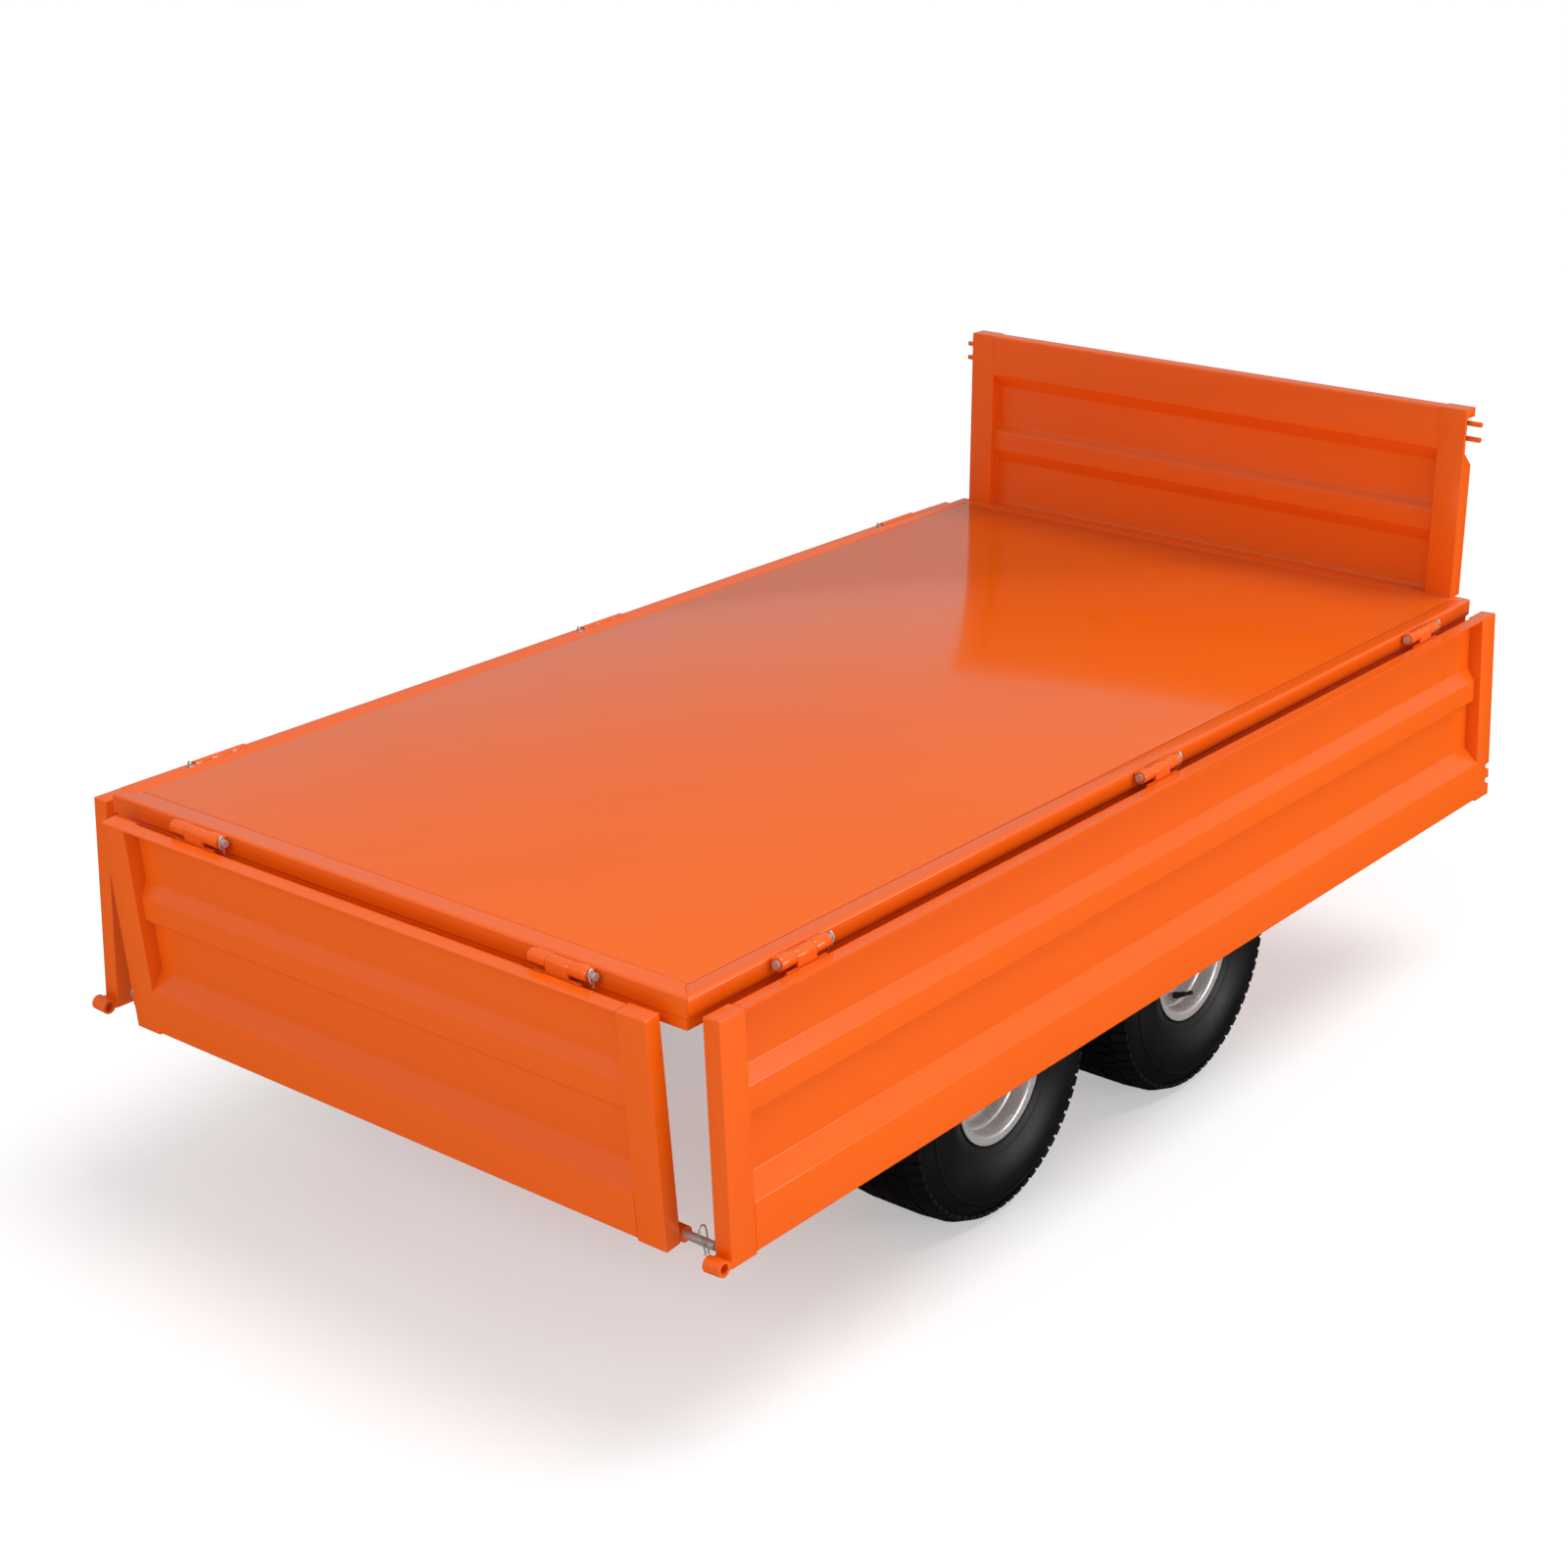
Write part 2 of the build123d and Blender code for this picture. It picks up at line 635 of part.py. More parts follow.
def make_axle():
    reach = rail_centre + rail_width / 2 + axle_past_rail
    tip = beam_inner + beam_width + end_play
    cap_end = tip + end_cap[1]
    y = bogie_pivot_y
    z = wheel_radius
    tube = pipe((-reach, y, z), (reach, y, z), axle_radius, axle_radius - axle_wall)
    caps = []
    for side in (-1, 1):
        tube += bar((side * (reach - spigot_root), y, z), (side * tip, y, z), pivot_radius)
        tube += bar((side * (reach - axle_plug), y, z), (side * reach, y, z), axle_radius)
        caps.append(bar((side * tip, y, z), (side * cap_end, y, z), pivot_radius + end_cap[0]))
        caps.append(hexagon((side * cap_end, y, z), (side, 0, 0), *end_bolt))
    put("cross_axle", tube)
    put("axle_end_caps", *caps)


# ---------------------------------------------------------------- bogies and wheels

def make_bogie(name, side):
    y0 = bogie_pivot_y - wheel_spacing / 2
    y1 = bogie_pivot_y + wheel_spacing / 2
    z = wheel_radius
    xs = sorted((side * beam_inner, side * (beam_inner + beam_width)))
    zs = (z - beam_height / 2, z + beam_height / 2)
    beam = box_tube(xs, (y0 - beam_overhang, y1 + beam_overhang), zs, beam_wall, 1)
    sleeve_radius = pivot_radius + sleeve_wall
    ends = [(xs[0] - sleeve_proud, bogie_pivot_y, z), (xs[1] + sleeve_proud, bogie_pivot_y, z)]
    beam += bar(*ends, sleeve_radius)
    beam -= bar(*ends, pivot_radius + pin_clearance)
    nuts = []
    for y in (y0, y1):
        start = side * (beam_inner + beam_wall / 2)
        shoulder = side * (hub_inner - hub_gap)
        end = side * (hub_outer + stub_end)
        beam += bar((start, y, z), (shoulder, y, z), stub_shoulder)
        beam += bar((shoulder - side * stub_root, y, z), (end, y, z), stub_radius)
        nut = hexagon((side * (hub_outer + nut_gap), y, z), (side, 0, 0), *stub_nut)
        nuts.append(nut - bar((side * hub_outer, y, z), (end, y, z), stub_radius))
    put(f"bogie_beam_{name}", beam)
    put(f"axle_nuts_{name}", *nuts)


def revolved(points, arcs):
    """A ring turned about Z from a closed outline of (radius, height) points; arcs bulge some sides."""
    edges = []
    count = len(points)
    for i in range(count):
        a = points[i]
        b = points[(i + 1) % count]
        if i in arcs:
            edges.append(ThreePointArc((a[0], 0, a[1]), (arcs[i][0], 0, arcs[i][1]), (b[0], 0, b[1])))
        else:
            edges.append(Line((a[0], 0, a[1]), (b[0], 0, b[1])))
    return revolve(make_face(Wire(edges)), Axis.Z)


def tyre_solid():
    half = tyre_width / 2
    bead = wheel_rim_width / 2 - rim_sheet - bead_gap
    lip = rim_radius + rim_flange + flange_roll
    shoulder = (wheel_radius - tyre_shoulder[0], half - tyre_shoulder[1])
    belly = (rim_radius + wheel_radius) / 2
    inner_half = half - tyre_wall
    inner_shoulder = (shoulder[0] - tyre_wall, shoulder[1] - tyre_wall)
    toe = (rim_radius, bead - bead_toe)
    points = [(rim_radius, bead), (lip, bead), shoulder, (shoulder[0], -shoulder[1]), (lip, -bead),
              (rim_radius, -bead), (toe[0], -toe[1]), (inner_shoulder[0], -inner_shoulder[1]),
              inner_shoulder, toe]
    arcs = {1: (belly, half), 2: (wheel_radius, 0), 3: (belly, -half),
            6: (belly, -inner_half), 7: (wheel_radius - tyre_wall, 0), 8: (belly, inner_half)}
    return revolved(points, arcs)


def rim_solid():
    """Stepped drop-centre rim with its disc; +Z is outboard."""
    half = wheel_rim_width / 2
    flange = rim_radius + rim_flange
    seat = rim_radius - bead_gap
    well = seat - well_depth
    ledge = seat - ledge_depth
    seat_end, ledge_start, ledge_end, well_start = [half - step for step in rim_steps]
    line = [(flange, half), (flange, half - rim_sheet + flange_roll), (seat, half - rim_sheet),
            (seat, seat_end), (ledge, ledge_start), (ledge, ledge_end), (well, well_start)]
    back = [(flange - 2 * flange_roll, half + flange_roll), (seat - rim_sheet, half - bend_shift)]
    for radius, place in ((seat, seat_end), (ledge, ledge_start), (ledge, ledge_end), (well, well_start)):
        back.append((radius - rim_sheet, place + bend_shift))
    line += [(radius, -height) for radius, height in reversed(line)]
    back += [(radius, -height) for radius, height in reversed(back)]
    barrel = revolved(line + list(reversed(back)), {})

    face = disc_offset
    edge = well - rim_sheet
    bore = hub_radius + disc_clearance
    inner = edge - disc_sheet
    disc = [(bore, face), (edge - disc_round, face), (edge, face - disc_round), (edge, face - disc_lip),
            (inner, face - disc_lip), (inner, face - disc_sheet), (bore, face - disc_sheet)]
    shape = barrel + revolved(disc, {})
    for spot in stud_spots(face):
        shape -= Pos(*spot) * Cylinder(stud_radius + disc_clearance, 3 * disc_sheet)
    return shape


def stud_spots(height):
    turns = [360 / stud_count * (i + 0.5) for i in range(stud_count)]
    return [(stud_circle * cos(radians(a)), stud_circle * sin(radians(a)), height) for a in turns]


def make_wheel(name, side, y):
    face = disc_offset
    back = face - disc_sheet
    low = -hub_back
    high = disc_offset + hub_front
    up = Align.CENTER, Align.CENTER, Align.MIN
    hub = Pos(0, 0, low) * Cylinder(hub_radius, high - low, align=up)
    hub += Pos(0, 0, back - hub_flange_thickness) * Cylinder(hub_flange_radius, hub_flange_thickness, align=up)
    hub -= Pos(0, 0, low) * Cylinder(stub_radius + pin_clearance, high - low, align=up)
    cap_radius = hub_radius - hub_cap_wall
    cap = Pos(0, 0, high) * Cylinder(cap_radius, hub_cap_height, align=up)
    cap -= Pos(0, 0, high) * Cylinder(cap_radius - hub_cap_wall, hub_cap_height - hub_cap_wall, align=up)
    nuts = []
    for x, v, height in stud_spots(face):
        stud = Cylinder(stud_radius, stud_thread + disc_sheet, align=up)
        hub += Pos(x, v, back - hub_flange_thickness / 2) * stud
        nut = Pos(x, v, height) * extrude(RegularPolygon(wheel_nut[0], 6), wheel_nut[1])
        nuts.append(nut - Pos(x, v, height) * Cylinder(stud_radius, wheel_nut[1], align=up))
    place = Pos(side * wheel_plane, y, wheel_radius) * Rot(0, 90 * side, 0)
    put(f"tyre_{name}", place * tyre_solid())
    put(f"rim_{name}", place * rim_solid())
    put(f"hub_{name}", place * hub, place * cap)
    put(f"wheel_nuts_{name}", *[place * nut for nut in nuts])


# ---------------------------------------------------------------- coupling and stand

def make_coupling():
    half = drop_plate_width / 2
    z = tow_height
    flange_high = coupler_bolt_spread[1] / 2 + coupler_bolt_edge
    plate = block((-half, half), (front_y, plate_end), (z - flange_high, rail_under + drop_plate_rise))
    flange_end = plate_end + drop_plate_thickness
    flange = block((-half, half), (plate_end, flange_end), (z - flange_high, z + flange_high))
    housing = flange + bar((0, flange_end, z), (0, housing_end, z), housing_radius)
    housing -= bar((0, plate_end - past, z), (0, plate_end + nut_room, z), housing_radius - housing_wall)
    housing -= bar((0, plate_end, z), (0, housing_end + past, z), tow_shank_radius + shank_clearance)
    bolts = []
    for x in (-coupler_bolt_spread[0] / 2, coupler_bolt_spread[0] / 2):
        for v in (z - coupler_bolt_spread[1] / 2, z + coupler_bolt_spread[1] / 2):
            tip = flange_end + coupler_head[1]
            shank = bar((x, front_y - bolt_thread, v), (x, tip, v), coupler_bolt_radius)
            plate -= shank
            housing -= shank
            head = hexagon((x, flange_end, v), (0, 1, 0), *coupler_head)
            nut = hexagon((x, front_y, v), (0, -1, 0), *coupler_nut)
            bolts.append(shank + head + nut)
    put("drop_plate", plate)
    put("coupler_housing", housing)
    put("coupler_bolts", *bolts)

    ring = Pos(0, tow_eye_y, z) * Cylinder(tow_ring_radius, tow_ring_height)
    collar_start = housing_end + collar_gap
    collar_end = housing_end + tow_collar[1]
    shank_end = tow_eye_y - tow_bore - tow_ring_root
    collar = bar((0, collar_start, z), (0, collar_end, z), tow_shank_radius + tow_collar[0])
    shank = bar((0, plate_end + shank_end_gap, z), (0, shank_end, z), tow_shank_radius)
    bore = Pos(0, tow_eye_y, z) * Cylinder(tow_bore, tow_ring_height + 2 * past)
    put("tow_eye", ring + collar + shank - bore)
    nut_y = plate_end + nut_room - eye_nut_gap - eye_nut[1]
    nut = hexagon((0, nut_y, z), (0, 1, 0), housing_radius - eye_nut[0], eye_nut[1])
    put("eye_nut", nut - bar((0, nut_y, z), (0, nut_y + eye_nut[1], z), tow_shank_radius))


def make_stand():
    bore = stand_radius + stand_clearance
    outer = bore + stand_clamp_wall
    x = drawbar_width / 2 + outer
    low = rail_under - drawbar_height - stand_clamp_below
    high = rail_under + stand_clamp_above
    z = (low + high) / 2
    boss_end = x + outer + screw_boss[1]
    clamp = bar((x, stand_y, low), (x, stand_y, high), outer)
    clamp += bar((x, stand_y, z), (boss_end, stand_y, z), screw_radius + screw_boss[0])
    clamp -= bar((x, stand_y, low - past), (x, stand_y, high + past), bore)
    clamp -= bar((x, stand_y, z), (boss_end + past, stand_y, z), screw_radius + pin_clearance)
    put("stand_clamp", clamp)

    half = foot_size / 2
    stand_top = rail_under + stand_rise
    leg = pipe((x, stand_y, foot_thickness), (x, stand_y, stand_top), stand_radius, stand_radius - stand_wall)
    foot = block((x - half, x + half), (stand_y - half, stand_y + half), (0, foot_thickness))
    put("stand_leg", leg + foot)

    screw_end = boss_end + screw_length
    screw = bar((x + stand_radius + screw_tip_gap, stand_y, z), (screw_end, stand_y, z), screw_radius)
    screw += bar((boss_end + screw_neck, stand_y, z), (screw_end, stand_y, z), screw_radius + screw_shoulder)
    reach = screw_bar_length / 2
    bar_x = boss_end + screw_bar_place
    handle = bar((bar_x, stand_y - reach, z), (bar_x, stand_y + reach, z), screw_bar_radius)
    put("stand_screw", screw + handle)


def middle_y():
    """Y halfway along the trailer, from the tail board's outer corner to the front of the tow ring."""
    lean = radians(tail_lean)
    rear = -hinge_offset - board_face * cos(lean) + board_drop * sin(lean)
    front = tow_eye_y + tow_ring_radius
    return (rear + front) / 2


def main():
    make_bed()
    make_headboard()
    make_bed_hinges()
    make_side("right", 1)
    make_side("left", -1)
    make_tail()
    make_chassis()
    make_axle()
    for name, side in (("left", -1), ("right", 1)):
        make_bogie(name, side)
        for end, way in (("front", 1), ("rear", -1)):
            make_wheel(f"{end}_{name}", side, bogie_pivot_y + way * wheel_spacing / 2)
    make_coupling()
    make_stand()

    os.makedirs("parts", exist_ok=True)
    for name, piece in nodes.items():
        export_step(Pos(0, -middle_y(), 0) * piece, f"parts/{name}.step")
    print(len(nodes), "nodes, moved by", round(-middle_y(), 4), "along Y")


main()
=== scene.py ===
import bpy
import bmesh
import json
import math
from mathutils import Matrix, Vector, noise


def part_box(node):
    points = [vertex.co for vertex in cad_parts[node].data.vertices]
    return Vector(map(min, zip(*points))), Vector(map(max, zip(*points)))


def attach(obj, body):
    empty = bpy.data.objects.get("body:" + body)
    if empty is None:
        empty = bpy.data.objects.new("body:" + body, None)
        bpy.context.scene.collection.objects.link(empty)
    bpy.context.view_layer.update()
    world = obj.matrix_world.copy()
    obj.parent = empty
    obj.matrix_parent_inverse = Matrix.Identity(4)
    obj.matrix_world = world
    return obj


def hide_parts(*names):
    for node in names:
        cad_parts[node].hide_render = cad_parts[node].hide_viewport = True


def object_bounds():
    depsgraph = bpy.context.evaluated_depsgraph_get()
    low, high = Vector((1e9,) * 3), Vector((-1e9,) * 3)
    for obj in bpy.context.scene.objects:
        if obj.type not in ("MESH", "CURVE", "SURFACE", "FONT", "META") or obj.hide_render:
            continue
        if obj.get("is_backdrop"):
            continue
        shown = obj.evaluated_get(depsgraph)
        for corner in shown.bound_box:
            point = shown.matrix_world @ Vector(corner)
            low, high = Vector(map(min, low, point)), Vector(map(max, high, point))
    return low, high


# Drop-side trailer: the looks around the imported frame. Metres, +Y the way it is towed, +Z up.

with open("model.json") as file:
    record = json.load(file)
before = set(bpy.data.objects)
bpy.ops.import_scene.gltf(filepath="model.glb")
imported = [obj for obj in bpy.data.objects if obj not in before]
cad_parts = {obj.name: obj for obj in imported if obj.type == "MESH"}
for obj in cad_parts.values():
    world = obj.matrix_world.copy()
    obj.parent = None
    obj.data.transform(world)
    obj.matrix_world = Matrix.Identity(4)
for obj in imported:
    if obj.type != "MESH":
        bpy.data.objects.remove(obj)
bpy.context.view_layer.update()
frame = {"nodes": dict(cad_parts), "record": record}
cadNodes = frame["nodes"]
behaviour = frame["record"]["behaviour"]
bodyOf = {node: body for body, members in behaviour["bodies"].items() for node in members}
slotOf = {part["node"]: part["material_slot"] for part in frame["record"]["subparts"]}
joints = {joint["name"]: joint for joint in behaviour["joints"]}
mm = 0.001
mergeGap = 0.02 * mm     # corners this close are one


# ---- small helpers

def fromHex(code):
    # sRGB hex to linear colour
    parts = [int(code[i:i + 2], 16) / 255 for i in (1, 3, 5)]
    linear = [c / 12.92 if c <= 0.04045 else ((c + 0.055) / 1.055) ** 2.4 for c in parts]
    return (*linear, 1.0)


def addNode(tree, kind, links=None, **settings):
    # one node; links gives an input a value or another node's output
    node = tree.nodes.new(kind)
    for name, value in settings.items():
        setattr(node, name, value)
    for key, value in (links or {}).items():
        if isinstance(value, bpy.types.NodeSocket):
            tree.links.new(value, node.inputs[key])
        else:
            node.inputs[key].default_value = value
    return node


def meshObject(name, bm, materials, smoothAngle=32):
    bmesh.ops.recalc_face_normals(bm, faces=bm.faces)
    mesh = bpy.data.meshes.new(name)
    bm.to_mesh(mesh)
    bm.free()
    return finishMesh(name, mesh, materials, smoothAngle)


def finishMesh(name, mesh, materials, smoothAngle=32):
    mesh.name = name
    for polygon in mesh.polygons:
        polygon.use_smooth = True
    mesh.set_sharp_from_angle(angle=math.radians(smoothAngle))
    if materials:
        mesh.materials.clear()
        for material in materials:
            mesh.materials.append(material)
    piece = bpy.data.objects.new(name, mesh)
    bpy.context.scene.collection.objects.link(piece)
    return piece


def baked(piece):
    # the evaluated object as one plain mesh, its modifiers gone
    graph = bpy.context.evaluated_depsgraph_get()
    graph.update()
    mesh = bpy.data.meshes.new_from_object(piece.evaluated_get(graph))
    piece.modifiers.clear()
    name = piece.name
    bpy.data.objects.remove(piece)
    return name, mesh


def standFor(piece, node, *others):
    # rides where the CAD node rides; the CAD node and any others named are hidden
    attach(piece, bodyOf[node])
    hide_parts(node, *others)
    return piece


def addTo(piece, node):
    # an extra piece on the body of a CAD node
    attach(piece, bodyOf[node])
    return piece


def smoothLine(points, steps=5):
    # Catmull-Rom curve through the points
    line = []
    for i in range(len(points) - 1):
        a = Vector(points[max(i - 1, 0)])
        b = Vector(points[i])
        c = Vector(points[i + 1])
        d = Vector(points[min(i + 2, len(points) - 1)])
        for k in range(steps):
            t = k / steps
            line.append(0.5 * ((2 * b) + (c - a) * t + (2 * a - 5 * b + 4 * c - d) * t * t
                               + (3 * b - a - 3 * c + d) * t ** 3))
    line.append(Vector(points[-1]))
    return line


def filletLine(points, radius, steps=4):
    # straight runs with each inner corner turned on an arc
    line = [Vector(points[0])]
    for i in range(1, len(points) - 1):
        before, corner, after = Vector(points[i - 1]), Vector(points[i]), Vector(points[i + 1])
        intoWay = (corner - before).normalized()
        outWay = (after - corner).normalized()
        turn = intoWay.angle(outWay)
        cut = radius * math.tan(turn / 2)
        start = corner - intoWay * cut
        end = corner + outWay * cut
        for k in range(steps + 1):
            t = k / steps
            line.append(start.lerp(corner, t).lerp(corner.lerp(end, t), t))
    line.append(Vector(points[-1]))
    return line


def thickLine(line, thickness):
    # closed section: the line and the same line moved to its right
    moved = []
    for i, point in enumerate(line):
        along = (line[min(i + 1, len(line) - 1)] - line[max(i - 1, 0)]).normalized()
        moved.append(point + Vector((along.y, -along.x)) * thickness)
    return list(line) + moved[::-1]


def lathe(bm, section, centre, side, turns=128):
    # closed (radius, outboard) section turned about the X axis through centre
    rings = []
    for k in range(turns):
        angle = 2 * math.pi * k / turns
        rings.append([bm.verts.new(centre + Vector((side * out, r * math.cos(angle), r * math.sin(angle))))
                      for r, out in section])
    count = len(section)
    for k in range(turns):
        here = rings[k]
        ahead = rings[(k + 1) % turns]
        for i in range(count):
            j = (i + 1) % count
            bm.faces.new((here[i], here[j], ahead[j], ahead[i]))


# ---- materials

def startMaterial(name):
    material = bpy.data.materials.new(name)
    material.use_nodes = True
    tree = material.node_tree
    shader = tree.nodes["Principled BSDF"]
    place = tree.nodes.new("ShaderNodeTexCoord").outputs["Object"]
    return material, tree, shader, place


def enamelPaint(name, tones, gloss, scuffs):
    # enamel sprayed on folded steel: deep gloss, faint orange peel, slow waves of the sheet
    material, tree, shader, place = startMaterial(name)
    shade = addNode(tree, "ShaderNodeTexNoise", {"Vector": place, "Scale": 1 / 0.45, "Detail": 3})
    mix = addNode(tree, "ShaderNodeMix", {"Factor": shade.outputs["Fac"]}, data_type="RGBA")
    mix.inputs[6].default_value = fromHex(tones[0])
    mix.inputs[7].default_value = fromHex(tones[1])
    tree.links.new(mix.outputs[2], shader.inputs["Base Color"])
    # faint rub marks along the trailer, about 5 mm apart
    stretched = addNode(tree, "ShaderNodeMapping", {"Vector": place, "Scale": (1.0, 0.1, 1.0)})
    marks = addNode(tree, "ShaderNodeTexNoise", {"Vector": stretched.outputs[0], "Scale": 1 / 0.005,
                                                 "Detail": 2})
    rub = addNode(tree, "ShaderNodeMapRange", {"Value": marks.outputs["Fac"], "From Min": 0.6,
                                               "From Max": 0.75, "To Min": 0.0, "To Max": scuffs})
    spread = addNode(tree, "ShaderNodeMapRange", {"Value": shade.outputs["Fac"], "To Min": gloss[0],
                                                  "To Max": gloss[1]})
    rough = addNode(tree, "ShaderNodeMath", {0: spread.outputs[0], 1: rub.outputs[0]}, operation="ADD")
    tree.links.new(rough.outputs[0], shader.inputs["Roughness"])
    peel = addNode(tree, "ShaderNodeTexNoise", {"Vector": place, "Scale": 1 / 0.003, "Detail": 1})
    waves = addNode(tree, "ShaderNodeTexNoise", {"Vector": place, "Scale": 1 / 0.22, "Detail": 1})
    fine = addNode(tree, "ShaderNodeBump", {"Height": peel.outputs["Fac"], "Strength": 0.02,
                                            "Distance": 0.4 * mm})
    broad = addNode(tree, "ShaderNodeBump", {"Height": waves.outputs["Fac"], "Strength": 0.3,
                                             "Distance": 2 * mm, "Normal": fine.outputs[0]})
    tree.links.new(broad.outputs[0], shader.inputs["Normal"])
    shader.inputs["IOR"].default_value = 1.5
    shader.inputs["Coat Weight"].default_value = 0.25
    shader.inputs["Coat Roughness"].default_value = 0.07
    return material


def platedSteel(name, tones, roughness, metal):
    # zinc-plated turned steel: grey metal with a soft cloud of lighter and darker grains
    material, tree, shader, place = startMaterial(name)
    cloud = addNode(tree, "ShaderNodeTexNoise", {"Vector": place, "Scale": 1 / 0.03, "Detail": 2})
    ramp = addNode(tree, "ShaderNodeMix", {"Factor": cloud.outputs["Fac"]}, data_type="RGBA")
    ramp.inputs[6].default_value = fromHex(tones[0])
    ramp.inputs[7].default_value = fromHex(tones[1])
    tree.links.new(ramp.outputs[2], shader.inputs["Base Color"])
    spread = addNode(tree, "ShaderNodeMapRange", {"Value": cloud.outputs["Fac"], "To Min": roughness - 0.04,
                                                  "To Max": roughness + 0.06})
    tree.links.new(spread.outputs[0], shader.inputs["Roughness"])
    grain = addNode(tree, "ShaderNodeTexNoise", {"Vector": place, "Scale": 1 / 0.0015, "Detail": 2})
    bump = addNode(tree, "ShaderNodeBump", {"Height": grain.outputs["Fac"], "Strength": 0.04,
                                            "Distance": 0.2 * mm})
    tree.links.new(bump.outputs[0], shader.inputs["Normal"])
    shader.inputs["Metallic"].default_value = metal
    return material


def silverLacquer(name):
    # wheel lacquer with fine aluminium flake over a spun steel rim
    material, tree, shader, place = startMaterial(name)
    flake = addNode(tree, "ShaderNodeTexVoronoi", {"Vector": place, "Scale": 1 / 0.0016})
    tint = addNode(tree, "ShaderNodeMix", {"Factor": flake.outputs["Distance"]}, data_type="RGBA")
    tint.inputs[6].default_value = fromHex("#E4E3E1")
    tint.inputs[7].default_value = fromHex("#C6C4C1")
    tree.links.new(tint.outputs[2], shader.inputs["Base Color"])
    road = addNode(tree, "ShaderNodeTexNoise", {"Vector": place, "Scale": 1 / 0.03, "Detail": 4})
    spread = addNode(tree, "ShaderNodeMapRange", {"Value": road.outputs["Fac"], "To Min": 0.2,
                                                  "To Max": 0.36})
    tree.links.new(spread.outputs[0], shader.inputs["Roughness"])
    bump = addNode(tree, "ShaderNodeBump", {"Height": road.outputs["Fac"], "Strength": 0.02,
                                            "Distance": 0.5 * mm})
    tree.links.new(bump.outputs[0], shader.inputs["Normal"])
    shader.inputs["Metallic"].default_value = 0.5
    shader.inputs["Coat Weight"].default_value = 0.3
    shader.inputs["Coat Roughness"].default_value = 0.12
    return material


def tyreRubber(name):
    # moulded carbon-black rubber: dark, faint bloom, a soft wide highlight
    material, tree, shader, place = startMaterial(name)
    bloom = addNode(tree, "ShaderNodeTexNoise", {"Vector": place, "Scale": 1 / 0.06, "Detail": 5})
    tint = addNode(tree, "ShaderNodeMix", {"Factor": bloom.outputs["Fac"]}, data_type="RGBA")
    tint.inputs[6].default_value = fromHex("#080809")
    tint.inputs[7].default_value = fromHex("#111112")
    tree.links.new(tint.outputs[2], shader.inputs["Base Color"])
    spread = addNode(tree, "ShaderNodeMapRange", {"Value": bloom.outputs["Fac"], "To Min": 0.38,
                                                  "To Max": 0.58})
    tree.links.new(spread.outputs[0], shader.inputs["Roughness"])
    skin = addNode(tree, "ShaderNodeTexNoise", {"Vector": place, "Scale": 1 / 0.002, "Detail": 3})
    bump = addNode(tree, "ShaderNodeBump", {"Height": skin.outputs["Fac"], "Strength": 0.25,
                                            "Distance": 0.4 * mm})
    tree.links.new(bump.outputs[0], shader.inputs["Normal"])
    shader.inputs["IOR"].default_value = 1.45
    return material


def mouldedPlastic(name):
    # black polyethylene end caps with a moulded grain
    material, tree, shader, place = startMaterial(name)
    grain = addNode(tree, "ShaderNodeTexNoise", {"Vector": place, "Scale": 1 / 0.0012, "Detail": 3})
    tint = addNode(tree, "ShaderNodeMix", {"Factor": grain.outputs["Fac"]}, data_type="RGBA")
    tint.inputs[6].default_value = fromHex("#151515")
    tint.inputs[7].default_value = fromHex("#262626")
    tree.links.new(tint.outputs[2], shader.inputs["Base Color"])
    bump = addNode(tree, "ShaderNodeBump", {"Height": grain.outputs["Fac"], "Strength": 0.3,
                                            "Distance": 0.3 * mm})
    tree.links.new(bump.outputs[0], shader.inputs["Normal"])
    shader.inputs["Roughness"].default_value = 0.5
    return material


orangeEnamel = enamelPaint("orangeEnamel", ("#EF620A", "#EA5C09"), (0.2, 0.28), 0.015)
# the bed's floor sheet: the same orange paint made a touch paler and yellower, a painted sheen for the extra
# light the upward-facing bed catches; a little glossier too
bedEnamelPaintedSheen = enamelPaint("bedEnamelPaintedSheen", ("#EC650D", "#E85F0B"), (0.15, 0.22), 0.02)
zincPlate = platedSteel("zincPlate", ("#B9B8B5", "#CFCECB"), 0.3, 0.6)
springSteel = platedSteel("springSteel", ("#CBC9C5", "#E2E1DE"), 0.22, 0.6)
wheelLacquer = silverLacquer("wheelLacquer")
blackRubber = tyreRubber("blackRubber")
blackPlastic = mouldedPlastic("blackPlastic")
finishOf = {"orange_paint": orangeEnamel, "zinc_steel": zincPlate, "rim_silver": wheelLacquer,
            "tyre_rubber": blackRubber}
for node, thing in cadNodes.items():
    thing.data.materials.clear()
    thing.data.materials.append(finishOf[slotOf[node]])
print("materials made")


# ---- folded and boxed steel: merged copies of CAD nodes with their edges eased

easing = {
    "rails": {"width": 2.6 * mm, "rounds": 3},
    "posts": {"width": 4.0 * mm, "rounds": 4},
    "tubes": {"width": 4.5 * mm, "rounds": 3},
    "plates": {"width": 0.8 * mm, "rounds": 2},
    "knuckles": {"width": 1.6 * mm, "rounds": 2},
}


